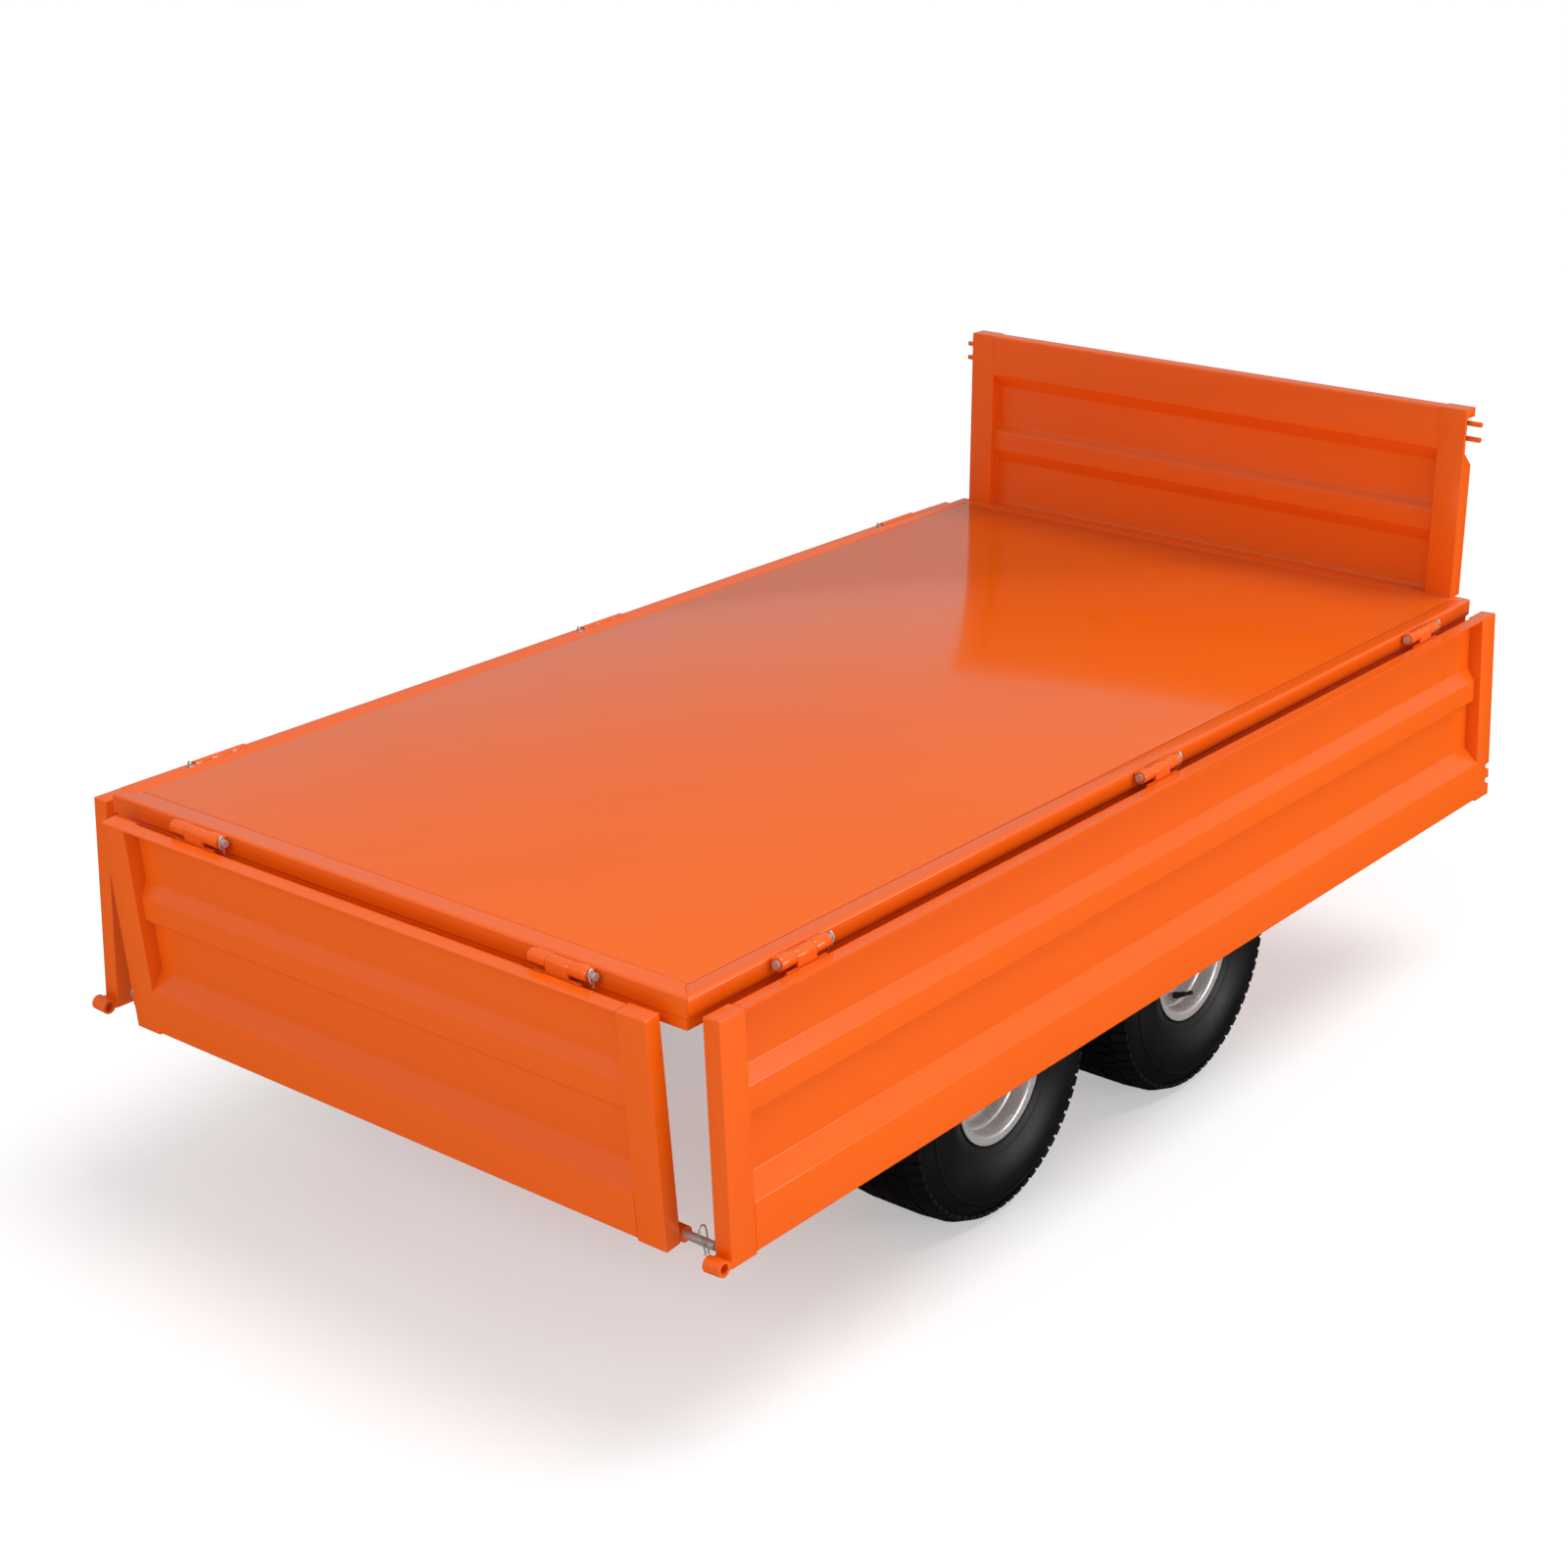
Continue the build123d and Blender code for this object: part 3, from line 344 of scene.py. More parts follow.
def easedCopy(node, kind, material=None):
    source = cadNodes[node]
    bm = bmesh.new()
    bm.from_mesh(source.data)
    bmesh.ops.remove_doubles(bm, verts=bm.verts, dist=mergeGap)
    bmesh.ops.dissolve_limit(bm, angle_limit=math.radians(0.5), verts=bm.verts, edges=bm.edges)
    mesh = bpy.data.meshes.new(node)
    bm.to_mesh(mesh)
    bm.free()
    piece = bpy.data.objects.new(node + ".eased", mesh)
    bpy.context.scene.collection.objects.link(piece)
    bevel = piece.modifiers.new("ease", "BEVEL")
    bevel.width = easing[kind]["width"]
    bevel.segments = easing[kind]["rounds"]
    bevel.limit_method = "ANGLE"
    bevel.angle_limit = math.radians(40)
    bevel.use_clamp_overlap = True
    name, made = baked(piece)
    final = finishMesh(name, made, [material or finishOf[slotOf[node]]], 35)
    return standFor(final, node)


for node in ("side_rail_left", "side_rail_right", "rear_rail", "front_rail"):
    easedCopy(node, "rails")
for node in ("side_posts_left", "side_posts_right", "tail_posts", "headboard_posts"):
    easedCopy(node, "posts")
for node in ("chassis_rails", "chassis_crossmembers", "drawbar", "bogie_beam_left", "bogie_beam_right"):
    easedCopy(node, "tubes")
for node in ("crossmembers", "axle_pedestals", "drop_plate", "stand_clamp", "coupler_housing"):
    easedCopy(node, "plates")
for node in ("hinge_knuckles", "side_leaves_left", "side_leaves_right", "tail_leaves"):
    easedCopy(node, "knuckles")
# the floor sheet takes the paler orange, its painted sheen
easedCopy("floor_sheet", "plates", bedEnamelPaintedSheen)
print("rails, posts and chassis eased")


# ---- pressed boards

pressing = {
    "turns": (100 * mm, 126 * mm, 166 * mm, 178 * mm, 264 * mm, 294 * mm),   # where the section bends
    "ribRecess": 12.5 * mm,
    "sheet": 3 * mm,
    "bend": 5 * mm,
    "columns": 48,
    "wave": 0.5 * mm,      # how far the panel wanders from flat
    "waveLength": 0.38,
    "endFade": 0.2,        # the wander dies out this near the posts
    "foldFade": 0.05,      # and this near the upper and lower fold
    "sharp": 25,
}


def boardFrame(joint, outward):
    # along, outward and up of a hanging board, from its hinge's place and range
    lean = math.radians(180 - joint["range_deg"][1])
    up = Vector((0, 0, 1))
    outWay = outward * math.cos(lean) + up * math.sin(lean)
    upWay = up * math.cos(lean) - outward * math.sin(lean)
    along = outWay.cross(upWay)
    turn = Matrix((along, outWay, upWay)).transposed().to_4x4()
    return Matrix.Translation(Vector(joint["pos_m"])) @ turn


def localBox(node, place):
    inverse = place.inverted()
    points = [inverse @ v.co for v in cadNodes[node].data.vertices]
    low = Vector([min(p[i] for p in points) for i in range(3)])
    high = Vector([max(p[i] for p in points) for i in range(3)])
    return low, high


def pressedSheet(node, place):
    low, high = localBox(node, place)
    back, face, top, bottom = low.y, high.y, high.z, low.z
    t = pressing["sheet"]
    rib = face - pressing["ribRecess"]
    band = back + t
    a, b, c, d, e, f = [top - turn for turn in pressing["turns"]]
    points = [(face, top - t), (band, top - t), (band, a), (rib, b), (rib, c), (band, d), (band, e),
              (face, f), (face, bottom), (back, bottom)]
    section = thickLine(filletLine(points, pressing["bend"]), t)
    bm = bmesh.new()
    columns = []
    for k in range(pressing["columns"] + 1):
        u = low.x + (high.x - low.x) * k / pressing["columns"]
        edge = min(u - low.x, high.x - u) / pressing["endFade"]
        column = []
        for v, w in section:
            inside = min(1.0, edge, min(top - w, w - bottom) / pressing["foldFade"])
            wander = noise.noise(Vector((u, w, place.translation.x)) / pressing["waveLength"])
            wander *= pressing["wave"] * max(inside, 0)
            depth = min(max(v + wander, back), face)
            column.append(bm.verts.new(place @ Vector((u, depth, w))))
        columns.append(column)
    count = len(section)
    for here, ahead in zip(columns, columns[1:]):
        for i in range(count):
            j = (i + 1) % count
            bm.faces.new((here[i], here[j], ahead[j], ahead[i]))
    half = count // 2
    for column in (columns[0], columns[-1]):
        for i in range(half - 1):
            bm.faces.new((column[i], column[i + 1], column[count - 2 - i], column[count - 1 - i]))
    return standFor(meshObject(node + ".pressed", bm, [orangeEnamel], pressing["sharp"]), node)


rightPlace = boardFrame(joints["side_right_hinge"], Vector((1, 0, 0)))
leftPlace = boardFrame(joints["side_left_hinge"], Vector((-1, 0, 0)))
tailPlace = boardFrame(joints["tail_hinge"], Vector((0, -1, 0)))
headPlace = Matrix(((1, 0, 0), (0, -1, 0), (0, 0, -1))).to_4x4()
pressedSheet("side_sheet_right", rightPlace)
pressedSheet("side_sheet_left", leftPlace)
pressedSheet("tail_sheet", tailPlace)
pressedSheet("headboard_sheet", headPlace)
print("boards pressed")


# ---- tyres: a turned carcass, and tread blocks set by geometry nodes

tyre = {
    # radius and half width in millimetres, from the bead to the crown
    "carcass": [(101.3, 78), (101.3, 88), (103.5, 95), (115.5, 96.5), (118, 100), (124, 104.5),
                (127, 106.5), (128.5, 107), (131, 109), (146, 117.5), (163, 123.4), (177, 124.8),
                (192, 123.3), (204, 119.5), (205.5, 120), (207.5, 119.6), (209, 117.3), (220, 111.5),
                (230, 104.5), (238, 95), (243, 82), (245.6, 60), (246.8, 30), (247, 0)],
    "turns": 160,
    "wall": 8 * mm,
    "insideWidth": 0.93,        # share of the outside's width
    "insideFrom": 112 * mm,     # where the inside starts, past the bead
    "blocks": 66,
    "rows": (-94, -57, -19, 19, 57, 94),       # millimetres from the centre plane
    "blockSize": (31 * mm, 18.5 * mm, 7 * mm),
    "taper": 0.14,
    "crownDrop": 8.2 * mm,      # how much lower the outer rows sit
    "crownRoom": 0.2 * mm,
    "tilt": 0.42,
}


def treadTree():
    tree = bpy.data.node_groups.new("treadBlocks", "GeometryNodeTree")
    face = tree.interface
    face.new_socket("Geometry", in_out="OUTPUT", socket_type="NodeSocketGeometry")
    sockets = {}
    for name, kind in (("Blocks", "NodeSocketInt"), ("Row Place", "NodeSocketFloat"),
                       ("Radius", "NodeSocketFloat"), ("Tilt", "NodeSocketFloat"),
                       ("Stagger", "NodeSocketFloat"), ("Size", "NodeSocketVector"),
                       ("Taper", "NodeSocketFloat"), ("Centre", "NodeSocketVector"),
                       ("Rubber", "NodeSocketMaterial")):
        sockets[name] = face.new_socket(name, in_out="INPUT", socket_type=kind)
    given = tree.nodes.new("NodeGroupInput").outputs
    block = addNode(tree, "GeometryNodeMeshCube", {"Size": given["Size"], "Vertices X": 3, "Vertices Y": 3})
    where = tree.nodes.new("GeometryNodeInputPosition")
    split = addNode(tree, "ShaderNodeSeparateXYZ", {0: where.outputs[0]})
    top = addNode(tree, "ShaderNodeMath", {0: split.outputs[2], 1: 0.0}, operation="GREATER_THAN")
    shrink = addNode(tree, "ShaderNodeMath", {0: top.outputs[0], 1: given["Taper"]}, operation="MULTIPLY")
    keep = addNode(tree, "ShaderNodeMath", {0: 1.0, 1: shrink.outputs[0]}, operation="SUBTRACT")
    wide = addNode(tree, "ShaderNodeMath", {0: split.outputs[0], 1: keep.outputs[0]}, operation="MULTIPLY")
    deep = addNode(tree, "ShaderNodeMath", {0: split.outputs[1], 1: keep.outputs[0]}, operation="MULTIPLY")
    tapered = addNode(tree, "ShaderNodeCombineXYZ", {0: wide.outputs[0], 1: deep.outputs[0],
                                                     2: split.outputs[2]})
    shaped = addNode(tree, "GeometryNodeSetPosition", {"Geometry": block.outputs["Mesh"],
                                                       "Position": tapered.outputs[0]})
    points = addNode(tree, "GeometryNodePoints", {"Count": given["Blocks"]})
    index = tree.nodes.new("GeometryNodeInputIndex")
    slid = addNode(tree, "ShaderNodeMath", {0: index.outputs[0], 1: given["Stagger"]}, operation="ADD")
    share = addNode(tree, "ShaderNodeMath", {0: slid.outputs[0], 1: given["Blocks"]}, operation="DIVIDE")
    angle = addNode(tree, "ShaderNodeMath", {0: share.outputs[0], 1: 2 * math.pi}, operation="MULTIPLY")
    sine = addNode(tree, "ShaderNodeMath", {0: angle.outputs[0]}, operation="SINE")
    cosine = addNode(tree, "ShaderNodeMath", {0: angle.outputs[0]}, operation="COSINE")
    minus = addNode(tree, "ShaderNodeMath", {0: sine.outputs[0], 1: -1.0}, operation="MULTIPLY")
    across = addNode(tree, "ShaderNodeMath", {0: minus.outputs[0], 1: given["Radius"]}, operation="MULTIPLY")
    height = addNode(tree, "ShaderNodeMath", {0: cosine.outputs[0], 1: given["Radius"]}, operation="MULTIPLY")
    spot = addNode(tree, "ShaderNodeCombineXYZ", {0: given["Row Place"], 1: across.outputs[0],
                                                  2: height.outputs[0]})
    placed = addNode(tree, "ShaderNodeVectorMath", {0: spot.outputs[0], 1: given["Centre"]}, operation="ADD")
    moved = addNode(tree, "GeometryNodeSetPosition", {"Geometry": points.outputs[0],
                                                      "Position": placed.outputs[0]})
    turnRound = addNode(tree, "ShaderNodeCombineXYZ", {0: angle.outputs[0]})
    roll = addNode(tree, "FunctionNodeEulerToRotation", {0: turnRound.outputs[0]})
    leanOver = addNode(tree, "ShaderNodeCombineXYZ", {1: given["Tilt"]})
    tip = addNode(tree, "FunctionNodeEulerToRotation", {0: leanOver.outputs[0]})
    both = addNode(tree, "FunctionNodeRotateRotation", {"Rotation": roll.outputs[0],
                                                        "Rotate By": tip.outputs[0]}, rotation_space="LOCAL")
    copies = addNode(tree, "GeometryNodeInstanceOnPoints", {"Points": moved.outputs[0],
                                                            "Instance": shaped.outputs[0],
                                                            "Rotation": both.outputs[0]})
    real = addNode(tree, "GeometryNodeRealizeInstances", {0: copies.outputs[0]})
    finish = addNode(tree, "GeometryNodeSetMaterial", {"Geometry": real.outputs[0],
                                                       "Material": given["Rubber"]})
    addNode(tree, "NodeGroupOutput", {0: finish.outputs[0]})
    return tree, sockets


def grown(name, tree, sockets, values):
    # a geometry nodes tree run once with these inputs, as a plain mesh
    holder = bpy.data.objects.new(name, bpy.data.meshes.new(name))
    modifier = holder.modifiers.new("grow", "NODES")
    modifier.node_group = tree
    for key, value in values.items():
        modifier[sockets[key].identifier] = value
    bpy.context.scene.collection.objects.link(holder)
    return baked(holder)[1]


def wheelPlace(node):
    low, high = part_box(node)
    centre = (Vector(low) + Vector(high)) / 2
    return centre, math.copysign(1, centre.x)


def makeTyre(end, tree, sockets):
    node = "tyre_" + end
    centre, side = wheelPlace(node)
    half = [(r * mm, out * mm) for r, out in tyre["carcass"]]
    line = smoothLine(half, 3)
    outer = line + [Vector((p.x, -p.y)) for p in reversed(line[:-1])]
    inner = [Vector((p.x - tyre["wall"], p.y * tyre["insideWidth"])) for p in reversed(outer)
             if p.x > tyre["insideFrom"]]
    bm = bmesh.new()
    lathe(bm, outer + inner, centre, side, tyre["turns"])
    crown = Vector(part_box(node)[1]).z - centre.z
    for i, row in enumerate(tyre["rows"]):
        share = row / max(tyre["rows"])
        drop = tyre["crownDrop"] * share ** 4
        radius = crown - tyre["blockSize"][2] / 2 - drop - tyre["crownRoom"]
        blocks = grown(node + ".row", tree, sockets, {
            "Blocks": tyre["blocks"], "Row Place": row * mm, "Radius": radius,
            "Tilt": tyre["tilt"] * share ** 3, "Stagger": 0.5 * (i % 2), "Size": tyre["blockSize"],
            "Taper": tyre["taper"], "Centre": tuple(centre), "Rubber": blackRubber})
        bm.from_mesh(blocks)
        bpy.data.meshes.remove(blocks)
    standFor(meshObject(node + ".treaded", bm, [blackRubber], 30), node)


treadNodes, treadSockets = treadTree()
wheelEnds = ("front_left", "front_right", "rear_left", "rear_right")
for end in wheelEnds:
    makeTyre(end, treadNodes, treadSockets)
print("tyres made")


# ---- rims: spun barrel with rolled flanges, dished disc, snap-in valve

rim = {
    # radius and place outboard in millimetres, for the barrel and then the disc
    "barrel": [(110.5, 101.2), (112.8, 101.4), (113.6, 99.6), (112.4, 98), (106.5, 97), (102.5, 95.8),
               (100.2, 92.5), (99.2, 87), (98.9, 80), (98.7, 74), (97.2, 71), (94.2, 68.6), (92.6, 66),
               (92.2, 62), (92, 55), (91, 51), (87, 46.5), (82.5, 43), (80, 39.5), (79, 35), (79, 20),
               (79, 0)],
    "sheet": 3.0,
    "disc": [(33, 25), (44, 25), (46, 27), (50, 28), (61, 28), (65, 27), (67, 25), (71, 24.6), (75, 22),
             (77, 17), (77.2, 10), (77.2, 7)],
    "discSheet": 4.5,
    "valveAngles": {"front_right": -82, "rear_right": 70, "front_left": 150, "rear_left": -20},
    "valveRadius": 88.5 * mm,
    "valveOut": 60 * mm,
    "valveLean": 0.5,
    "valveSides": 20,
    # height and radius in millimetres
    "valve": [(0, 7.0), (4, 7.4), (8, 5.8), (24, 4.6), (26, 3.6), (31, 3.6), (33, 3.9), (41, 3.9),
              (42, 3.2)],
}


def makeRim(end):
    node = "rim_" + end
    low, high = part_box("tyre_" + end)
    centre = (Vector(low) + Vector(high)) / 2
    side = math.copysign(1, centre.x)
    line = smoothLine([(r * mm, out * mm) for r, out in rim["barrel"]], 3)
    full = line + [Vector((p.x, -p.y)) for p in reversed(line[:-1])]
    bm = bmesh.new()
    lathe(bm, thickLine(full, rim["sheet"] * mm), centre, side)
    disc = smoothLine([(r * mm, out * mm) for r, out in rim["disc"]], 3)
    lathe(bm, thickLine(disc, rim["discSheet"] * mm), centre, side)
    standFor(meshObject(node + ".spun", bm, [wheelLacquer], 28), node)

    angle = math.radians(rim["valveAngles"][end])
    outWay = Vector((0, math.cos(angle), math.sin(angle)))
    foot = centre + outWay * rim["valveRadius"] + Vector((side * rim["valveOut"], 0, 0))
    aim = (Vector((side, 0, 0)) - outWay * rim["valveLean"]).normalized()
    twist = aim.to_track_quat("Z", "Y")
    sides = rim["valveSides"]
    turns = [2 * math.pi * k / sides for k in range(sides)]
    bm = bmesh.new()
    rings = [[bm.verts.new(foot + twist @ Vector((r * mm * math.cos(a), r * mm * math.sin(a), h * mm)))
              for a in turns] for h, r in rim["valve"]]
    for here, ahead in zip(rings, rings[1:]):
        for k in range(sides):
            j = (k + 1) % sides
            bm.faces.new((here[k], here[j], ahead[j], ahead[k]))
    bm.faces.new(rings[0])
    bm.faces.new(rings[-1])
    addTo(meshObject("valve_" + end, bm, [blackRubber], 40), "tyre_" + end)


for end in wheelEnds:
    makeRim(end)
print("rims and valves made")


# ---- spring clips: bent wire through the pins

clip = {
    "wire": 1.35 * mm,
    "lockLine": [(0, -17), (0, 10), (0.5, 24), (4, 34), (10, 37), (16, 33), (17.5, 25), (13, 16), (9.5, 9),
                 (9.2, 2), (9, -5), (6, -10), (7.5, -16)],
    "hingeLine": [(0, -17.5), (0, 4), (0.4, 10), (3.6, 12.4), (7.2, 10), (8.2, 3), (7.8, -4), (4.6, -10)],
}


def bentWire(name, line, places, node):
    curve = bpy.data.curves.new(name, "CURVE")
    curve.dimensions = "3D"
    curve.bevel_depth = clip["wire"]
    curve.bevel_resolution = 3
    curve.use_fill_caps = True
    for place in places:
        spline = curve.splines.new("NURBS")
        spline.points.add(len(line) - 1)
        for point, (y, z) in zip(spline.points, line):
            point.co = (*(place @ Vector((0, y * mm, z * mm))), 1)
        spline.order_u = 4
        spline.use_endpoint_u = True
        spline.resolution_u = 6
    holder = bpy.data.objects.new(name, curve)
    bpy.context.scene.collection.objects.link(holder)
    made = baked(holder)[1]
    return standFor(finishMesh(name, made, [springSteel], 40), node)


def looseParts(node):
    # box of each separate solid of a CAD node
    bm = bmesh.new()
    bm.from_mesh(cadNodes[node].data)
    bmesh.ops.remove_doubles(bm, verts=bm.verts, dist=mergeGap)
    left = set(bm.verts)
    boxes = []
    while left:
        stack = [left.pop()]
        group = []
        while stack:
            vert = stack.pop()
            group.append(vert.co.copy())
            for edge in vert.link_edges:
                other = edge.other_vert(vert)
                if other in left:
                    left.remove(other)
                    stack.append(other)
        boxes.append((Vector([min(p[i] for p in group) for i in range(3)]),
                      Vector([max(p[i] for p in group) for i in range(3)])))
    bm.free()
    return boxes


nearSide = 20 * mm     # this close to a side hinge's line counts as on it
hingeZ = joints["side_right_hinge"]["pos_m"][2]
sideX = joints["side_right_hinge"]["pos_m"][0]
tailY = joints["tail_hinge"]["pos_m"][1]


def facing(outward):
    # frame whose Y is outward and Z up
    up = Vector((0, 0, 1))
    return Matrix((outward.cross(up), outward, up)).transposed().to_4x4()


hingeClips = []
for low, high in looseParts("hinge_clips"):
    middle = (low + high) / 2
    if abs(middle.x) > abs(sideX) - nearSide:
        side = math.copysign(1, middle.x)
        spot, outward = (side * sideX, middle.y, hingeZ), Vector((side, 0, 0))
    else:
        spot, outward = (middle.x, tailY, hingeZ), Vector((0, -1, 0))
    hingeClips.append(Matrix.Translation(spot) @ facing(outward))
bentWire("hinge_clips.bent", clip["hingeLine"], hingeClips, "hinge_clips")

lockClips = []
lockLow, lockHigh = localBox("tail_lock_pins", tailPlace)
for low, high in looseParts("tail_lock_clips"):
    x = (low.x + high.x) / 2
    spot = tailPlace @ Vector((0, (lockLow.y + lockHigh.y) / 2, (lockLow.z + lockHigh.z) / 2))
    lean = tailPlace.to_3x3().to_4x4()
    lockClips.append(Matrix.Translation((x, spot.y, spot.z)) @ lean)
bentWire("tail_lock_clips.bent", clip["lockLine"], lockClips, "tail_lock_clips")
print("clips bent")


# ---- weld beads: ripples laid along lines by geometry nodes

bead = {
    "pitch": 2.4 * mm,
    "size": (2.0 * mm, 2.0 * mm, 1.5 * mm),
    "vary": (0.85, 1.15),
    "seed": 7,
    "sharp": 60,
    "knuckleInset": 2 * mm,
    "knuckleRoot": 11.5 * mm,      # hinge line to the rim, at the sides
    "tailRoot": 11 * mm,           # and at the tail
    "knuckleUnder": 0.5 * mm,      # the bead under the foot, from its edge
    "knuckleOver": 5 * mm,         # the bead over it, from the hinge line
    "leafHalf": 45 * mm,
    "leafRise": 50 * mm,
    "bite": 0.4 * mm,              # how far a bead's line sinks behind a face
    "headRun": 60 * mm,
}


def beadTree():
    tree = bpy.data.node_groups.new("weldBead", "GeometryNodeTree")
    face = tree.interface
    face.new_socket("Geometry", in_out="OUTPUT", socket_type="NodeSocketGeometry")
    sockets = {"Geometry": face.new_socket("Geometry", in_out="INPUT", socket_type="NodeSocketGeometry")}
    for name, kind in (("Pitch", "NodeSocketFloat"), ("Size", "NodeSocketVector"), ("Seed", "NodeSocketInt"),
                       ("Metal", "NodeSocketMaterial")):
        sockets[name] = face.new_socket(name, in_out="INPUT", socket_type=kind)
    given = tree.nodes.new("NodeGroupInput").outputs
    line = addNode(tree, "GeometryNodeMeshToCurve", {0: given["Geometry"]})
    spots = addNode(tree, "GeometryNodeCurveToPoints", {"Curve": line.outputs[0], "Length": given["Pitch"]},
                    mode="LENGTH")
    drop = addNode(tree, "GeometryNodeMeshIcoSphere", {"Radius": 1.0, "Subdivisions": 2})
    vary = addNode(tree, "FunctionNodeRandomValue", {"Seed": given["Seed"]}, data_type="FLOAT")
    vary.inputs[2].default_value, vary.inputs[3].default_value = bead["vary"]
    scaled = addNode(tree, "ShaderNodeVectorMath", {0: given["Size"], "Scale": vary.outputs[1]},
                     operation="SCALE")
    copies = addNode(tree, "GeometryNodeInstanceOnPoints", {"Points": spots.outputs["Points"],
                                                            "Instance": drop.outputs["Mesh"],
                                                            "Rotation": spots.outputs["Rotation"],
                                                            "Scale": scaled.outputs[0]})
    real = addNode(tree, "GeometryNodeRealizeInstances", {0: copies.outputs[0]})
    finish = addNode(tree, "GeometryNodeSetMaterial", {"Geometry": real.outputs[0],
                                                       "Material": given["Metal"]})
    addNode(tree, "NodeGroupOutput", {0: finish.outputs[0]})
    return tree, sockets


beadNodes, beadSockets = beadTree()


def weld(name, node, lines):
    # one mesh of beads along these lines, riding with the node's body
    mesh = bpy.data.meshes.new(name)
    verts = []
    edges = []
    for line in lines:
        for i, point in enumerate(line):
            if i:
                edges.append((len(verts) - 1, len(verts)))
            verts.append(tuple(point))
    mesh.from_pydata(verts, edges, [])
    holder = bpy.data.objects.new(name, mesh)
    bpy.context.scene.collection.objects.link(holder)
    modifier = holder.modifiers.new("bead", "NODES")
    modifier.node_group = beadNodes
    for key, value in (("Pitch", bead["pitch"]), ("Size", bead["size"]), ("Seed", bead["seed"]),
                       ("Metal", orangeEnamel)):
        modifier[beadSockets[key].identifier] = value
    made = baked(holder)[1]
    return addTo(finishMesh(name, made, [orangeEnamel], bead["sharp"]), node)


# hinge knuckles on the rim: a bead under and over each foot
knuckleLines = []
for low, high in looseParts("hinge_knuckles"):
    inset = bead["knuckleInset"]
    heights = (low.z + bead["knuckleUnder"], hingeZ + bead["knuckleOver"])
    if abs((low.x + high.x) / 2) > abs(sideX) - nearSide:
        side = math.copysign(1, low.x)
        faceX = side * (abs(sideX) - bead["knuckleRoot"])
        for z in heights:
            x = faceX + side * (0.6 if z < hingeZ else 0.4) * mm
            knuckleLines.append([(x, low.y + inset, z), (x, high.y - inset, z)])
    else:
        for z in heights:
            y = tailY + bead["tailRoot"]
            knuckleLines.append([(low.x + inset, y, z), (high.x - inset, y, z)])
weld("knuckle_welds", "hinge_knuckles", knuckleLines)

# leaves on the boards' backs
for node, place, sheet in (("side_leaves_right", rightPlace, "side_sheet_right"),
                           ("side_leaves_left", leftPlace, "side_sheet_left"),
                           ("tail_leaves", tailPlace, "tail_sheet")):
    lines = []
    back = localBox(sheet, place)[0].y
    inverse = place.inverted()
    for low, high in looseParts(node):
        middle = inverse @ ((low + high) / 2)
        xs = (middle.x - bead["leafHalf"], middle.x + bead["leafHalf"])
        bottom = localBox(node, place)[0].z
        top = bottom + bead["leafRise"]
        y = back - bead["bite"]
        corners = ((xs[0], top), (xs[0], bottom), (xs[1], bottom), (xs[1], top))
        lines.append([place @ Vector((x, y, z)) for x, z in corners])
    weld(node + ".beads", node, lines)

# headboard: posts on the rim, and short beads where the sheet meets the posts
sheetLow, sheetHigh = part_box("headboard_sheet")
headLines = []
for low, high in looseParts("headboard_posts"):
    z = low.z + 0.6 * mm
    headLines.append([(low.x + 3 * mm, low.y, z), (high.x - 3 * mm, low.y, z)])
for x in (sheetLow.x, sheetHigh.x):
    y = sheetLow.y + bead["bite"]
    headLines.append([(x, y, sheetHigh.z - bead["headRun"]), (x, y, sheetHigh.z - 6 * mm)])
    y = sheetHigh.y - 4 * mm
    headLines.append([(x, y, sheetLow.z + 4 * mm), (x, y, sheetHigh.z - 4 * mm)])
weld("headboard_welds", "headboard_posts", headLines)

# chassis: pedestals to rails, crossmembers to rails, drawbar to crossmembers
chassisLines = []
for low, high in looseParts("axle_pedestals"):
    for x in (low.x, high.x):
        chassisLines.append([(x, low.y + 3 * mm, high.z - 1 * mm), (x, high.y - 3 * mm, high.z - 1 * mm)])
for low, high in looseParts("chassis_crossmembers"):
    for x in (low.x, high.x):
        for y in (low.y, high.y):
            chassisLines.append([(x, y, low.z + 2 * mm), (x, y, high.z - 2 * mm)])
barLow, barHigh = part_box("drawbar")
for low, high in looseParts("chassis_crossmembers"):
    for y in (low.y, high.y):
        if barLow.y < y:
            chassisLines.append([(barLow.x, y, barHigh.z), (barLow.x, y, barHigh.z - 1 * mm)])
for x in (barLow.x + 4 * mm, barHigh.x - 4 * mm):
    chassisLines.append([(x, barHigh.y, barLow.z + 4 * mm), (x, barHigh.y, barHigh.z - 4 * mm)])
weld("chassis_welds", "chassis_rails", chassisLines)
print("welds laid")


# ---- plastic end caps in the open tube ends

plug = {"lip": 2 * mm, "ease": 1.2 * mm}


def endCaps(name, node, boxes, outward):
    bm = bmesh.new()
    for low, high, y in boxes:
        thick = plug["lip"] * outward
        made = bmesh.ops.create_cube(bm, size=1)
        size = Vector((high.x - low.x, abs(thick), high.z - low.z))
        middle = Vector(((low.x + high.x) / 2, y + thick / 2, (low.z + high.z) / 2))
        for vert in made["verts"]:
            vert.co = Vector([vert.co[i] * size[i] for i in range(3)]) + middle
    bmesh.ops.bevel(bm, geom=bm.edges[:], offset=plug["ease"], segments=3, affect="EDGES", profile=0.6)
    return addTo(meshObject(name, bm, [blackPlastic], 40), node)


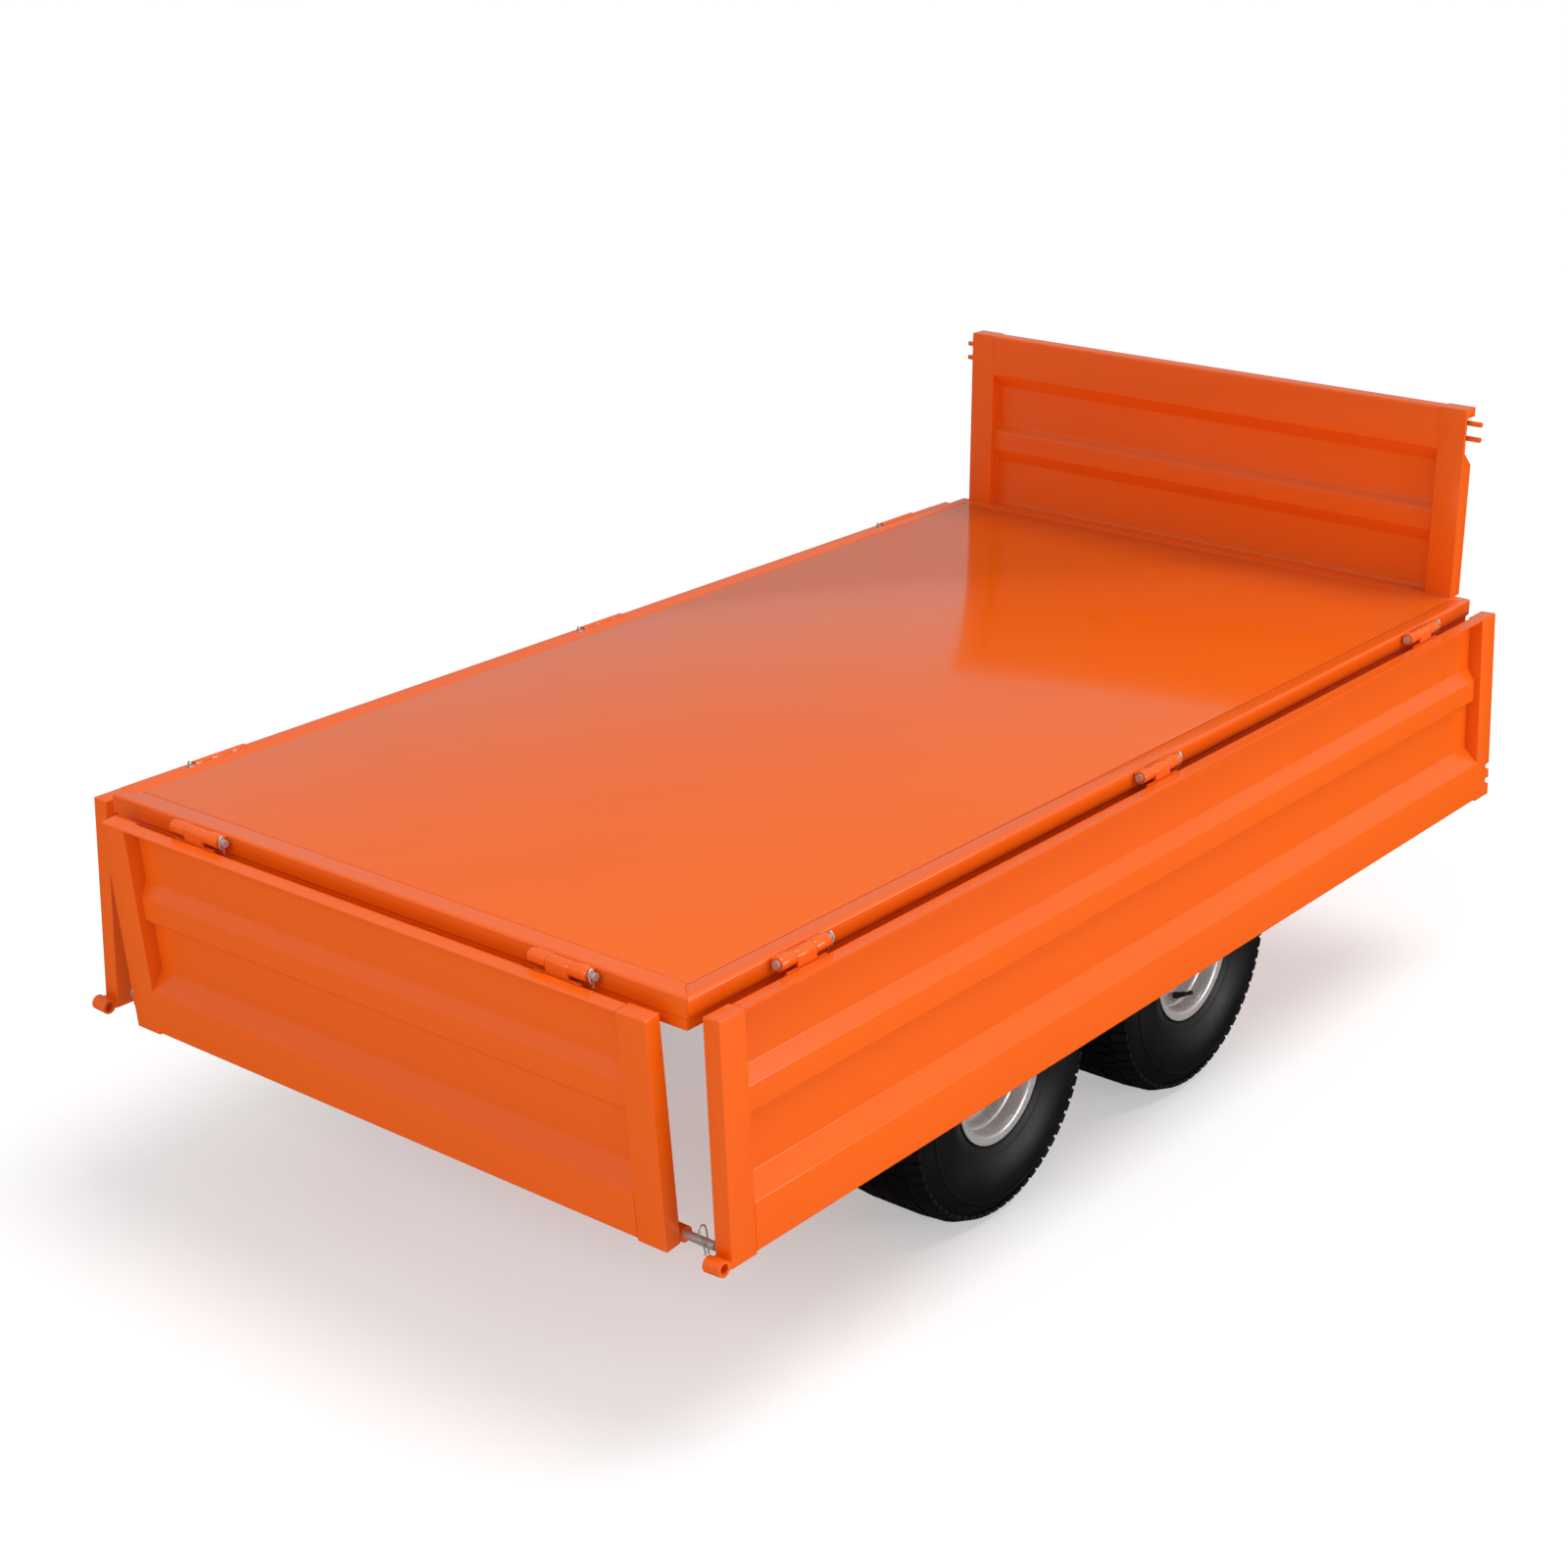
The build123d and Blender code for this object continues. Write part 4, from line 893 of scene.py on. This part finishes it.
railBoxes = looseParts("chassis_rails")
endCaps("rail_caps_rear", "chassis_rails", [(low, high, low.y) for low, high in railBoxes], -1)
endCaps("rail_caps_front", "chassis_rails", [(low, high, high.y) for low, high in railBoxes], 1)
endCaps("drawbar_cap", "drawbar", [(low, high, low.y) for low, high in looseParts("drawbar")], -1)
for side in ("left", "right"):
    node = "bogie_beam_" + side
    for tag, pick, outward in (("rear", 0, -1), ("front", 1, 1)):
        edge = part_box(node)[pick][1]
        ring = [v.co for v in cadNodes[node].data.vertices if abs(v.co.y - edge) < mm]
        low = Vector([min(p[i] for p in ring) for i in range(3)])
        high = Vector([max(p[i] for p in ring) for i in range(3)])
        endCaps("beam_caps_" + tag + "_" + side, node, [(low, high, edge)], outward)
print("end caps fitted")


# ---- floor, light and camera

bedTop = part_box("floor_sheet")[1][2]
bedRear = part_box("rear_rail")[0][1]
view = {
    "eye": Vector((2.8291, bedRear - 2.5378, bedTop + 1.5965)),
    "pitch": math.radians(-20.915),
    "yaw": math.radians(-38.960),
    "lens": 63.42,
}
level = math.cos(view["pitch"])
way = Vector((math.sin(view["yaw"]) * level, math.cos(view["yaw"]) * level, math.sin(view["pitch"])))
camera = bpy.data.objects.new("camera", bpy.data.cameras.new("camera"))
camera.data.lens = view["lens"]
camera.data.sensor_width = 36
camera.data.clip_end = 200
camera.location = view["eye"]
camera.rotation_mode = "QUATERNION"
camera.rotation_quaternion = way.to_track_quat("-Z", "Y")
bpy.context.scene.collection.objects.link(camera)
bpy.context.scene.camera = camera

studio = {
    "sky": 0.5,              # what the room gives as light
    "skyMirrored": 0.4,      # what glossy paint sees of it
    "floorGlow": 0.42,
    "floorMirrored": 0.0,
    "floorShade": "#C9CACA",
    "floorShadeMirrored": "#1A1A1A",
    "floorSize": 60,
}
floorMaterial, floorTree, floorShader, _ = startMaterial("studioFloor")
floorRay = floorTree.nodes.new("ShaderNodeLightPath")
floorTone = addNode(floorTree, "ShaderNodeMix", {"Factor": floorRay.outputs["Is Glossy Ray"]},
                    data_type="RGBA")
floorTone.inputs[6].default_value = fromHex(studio["floorShade"])
floorTone.inputs[7].default_value = fromHex(studio["floorShadeMirrored"])
floorTree.links.new(floorTone.outputs[2], floorShader.inputs["Base Color"])
floorShader.inputs["Roughness"].default_value = 0.9
floorShader.inputs["Specular IOR Level"].default_value = 0.0
floorShader.inputs["Emission Color"].default_value = fromHex("#FFFFFF")
# clear from below, so that the chassis can be looked at through it
floorBack = floorTree.nodes.new("ShaderNodeNewGeometry").outputs["Backfacing"]
clear = floorTree.nodes.new("ShaderNodeBsdfTransparent").outputs[0]
oneWay = addNode(floorTree, "ShaderNodeMixShader", {0: floorBack, 1: floorShader.outputs[0], 2: clear})
floorTree.links.new(oneWay.outputs[0], floorTree.nodes["Material Output"].inputs["Surface"])


def dimmedWhenMirrored(tree, socket, strength, mirrored):
    # the room's dark far side: less light in what the gloss mirrors
    ray = tree.nodes.new("ShaderNodeLightPath")
    swap = addNode(tree, "ShaderNodeMapRange", {"Value": ray.outputs["Is Glossy Ray"], "To Min": strength,
                                                "To Max": mirrored})
    tree.links.new(swap.outputs[0], socket)


dimmedWhenMirrored(floorTree, floorShader.inputs["Emission Strength"], studio["floorGlow"],
                   studio["floorMirrored"])
bm = bmesh.new()
bmesh.ops.create_grid(bm, x_segments=1, y_segments=1, size=studio["floorSize"])
floor = meshObject("floor", bm, [floorMaterial])
floor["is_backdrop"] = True

world = bpy.data.worlds.new("studio")
bpy.context.scene.world = world
world.use_nodes = True
sky = world.node_tree.nodes["Background"]
sky.inputs["Color"].default_value = fromHex("#FFFFFF")
dimmedWhenMirrored(world.node_tree, sky.inputs["Strength"], studio["sky"], studio["skyMirrored"])
# the camera sees plain white behind the floor
backdrop = addNode(world.node_tree, "ShaderNodeBackground", {"Color": fromHex("#FFFFFF"), "Strength": 1.0})
seen = world.node_tree.nodes.new("ShaderNodeLightPath").outputs["Is Camera Ray"]
room = addNode(world.node_tree, "ShaderNodeMixShader", {0: seen, 1: sky.outputs[0], 2: backdrop.outputs[0]})
world.node_tree.links.new(room.outputs[0], world.node_tree.nodes["World Output"].inputs["Surface"])


skylight = {"power": 1.65, "spread": math.radians(32), "mirrored": 0.1, "aim": Vector((-0.28, -0.2, -1))}
softboxes = {
    "rightSide": {"spot": Vector((5.0, 0.4, 1.3)), "target": Vector((0.6, -0.2, 0.5)), "size": (4.0, 1.4),
                  "power": 90, "mirrored": 0.02},
    "rearSide": {"spot": Vector((0.3, -5.0, 3.0)), "target": Vector((0, -1.2, 0.6)), "size": (2.5, 1.2),
                 "power": 45, "mirrored": 0.02},
}


def hangLamp(lamp, settings, aim):
    lamp.energy = settings["power"]
    lamp.specular_factor = settings["mirrored"]
    thing = bpy.data.objects.new(lamp.name, lamp)
    thing.rotation_mode = "QUATERNION"
    thing.rotation_quaternion = aim.to_track_quat("-Z", "Y")
    bpy.context.scene.collection.objects.link(thing)
    return thing


sun = bpy.data.lights.new("skylight", "SUN")
sun.angle = skylight["spread"]
hangLamp(sun, skylight, skylight["aim"])
for name, settings in softboxes.items():
    lamp = bpy.data.lights.new(name, "AREA")
    lamp.shape = "RECTANGLE"
    lamp.size, lamp.size_y = settings["size"]
    thing = hangLamp(lamp, settings, settings["target"] - settings["spot"])
    thing.location = settings["spot"]
bpy.context.scene.view_settings.view_transform = "Standard"
print("stage set")

low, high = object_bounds()
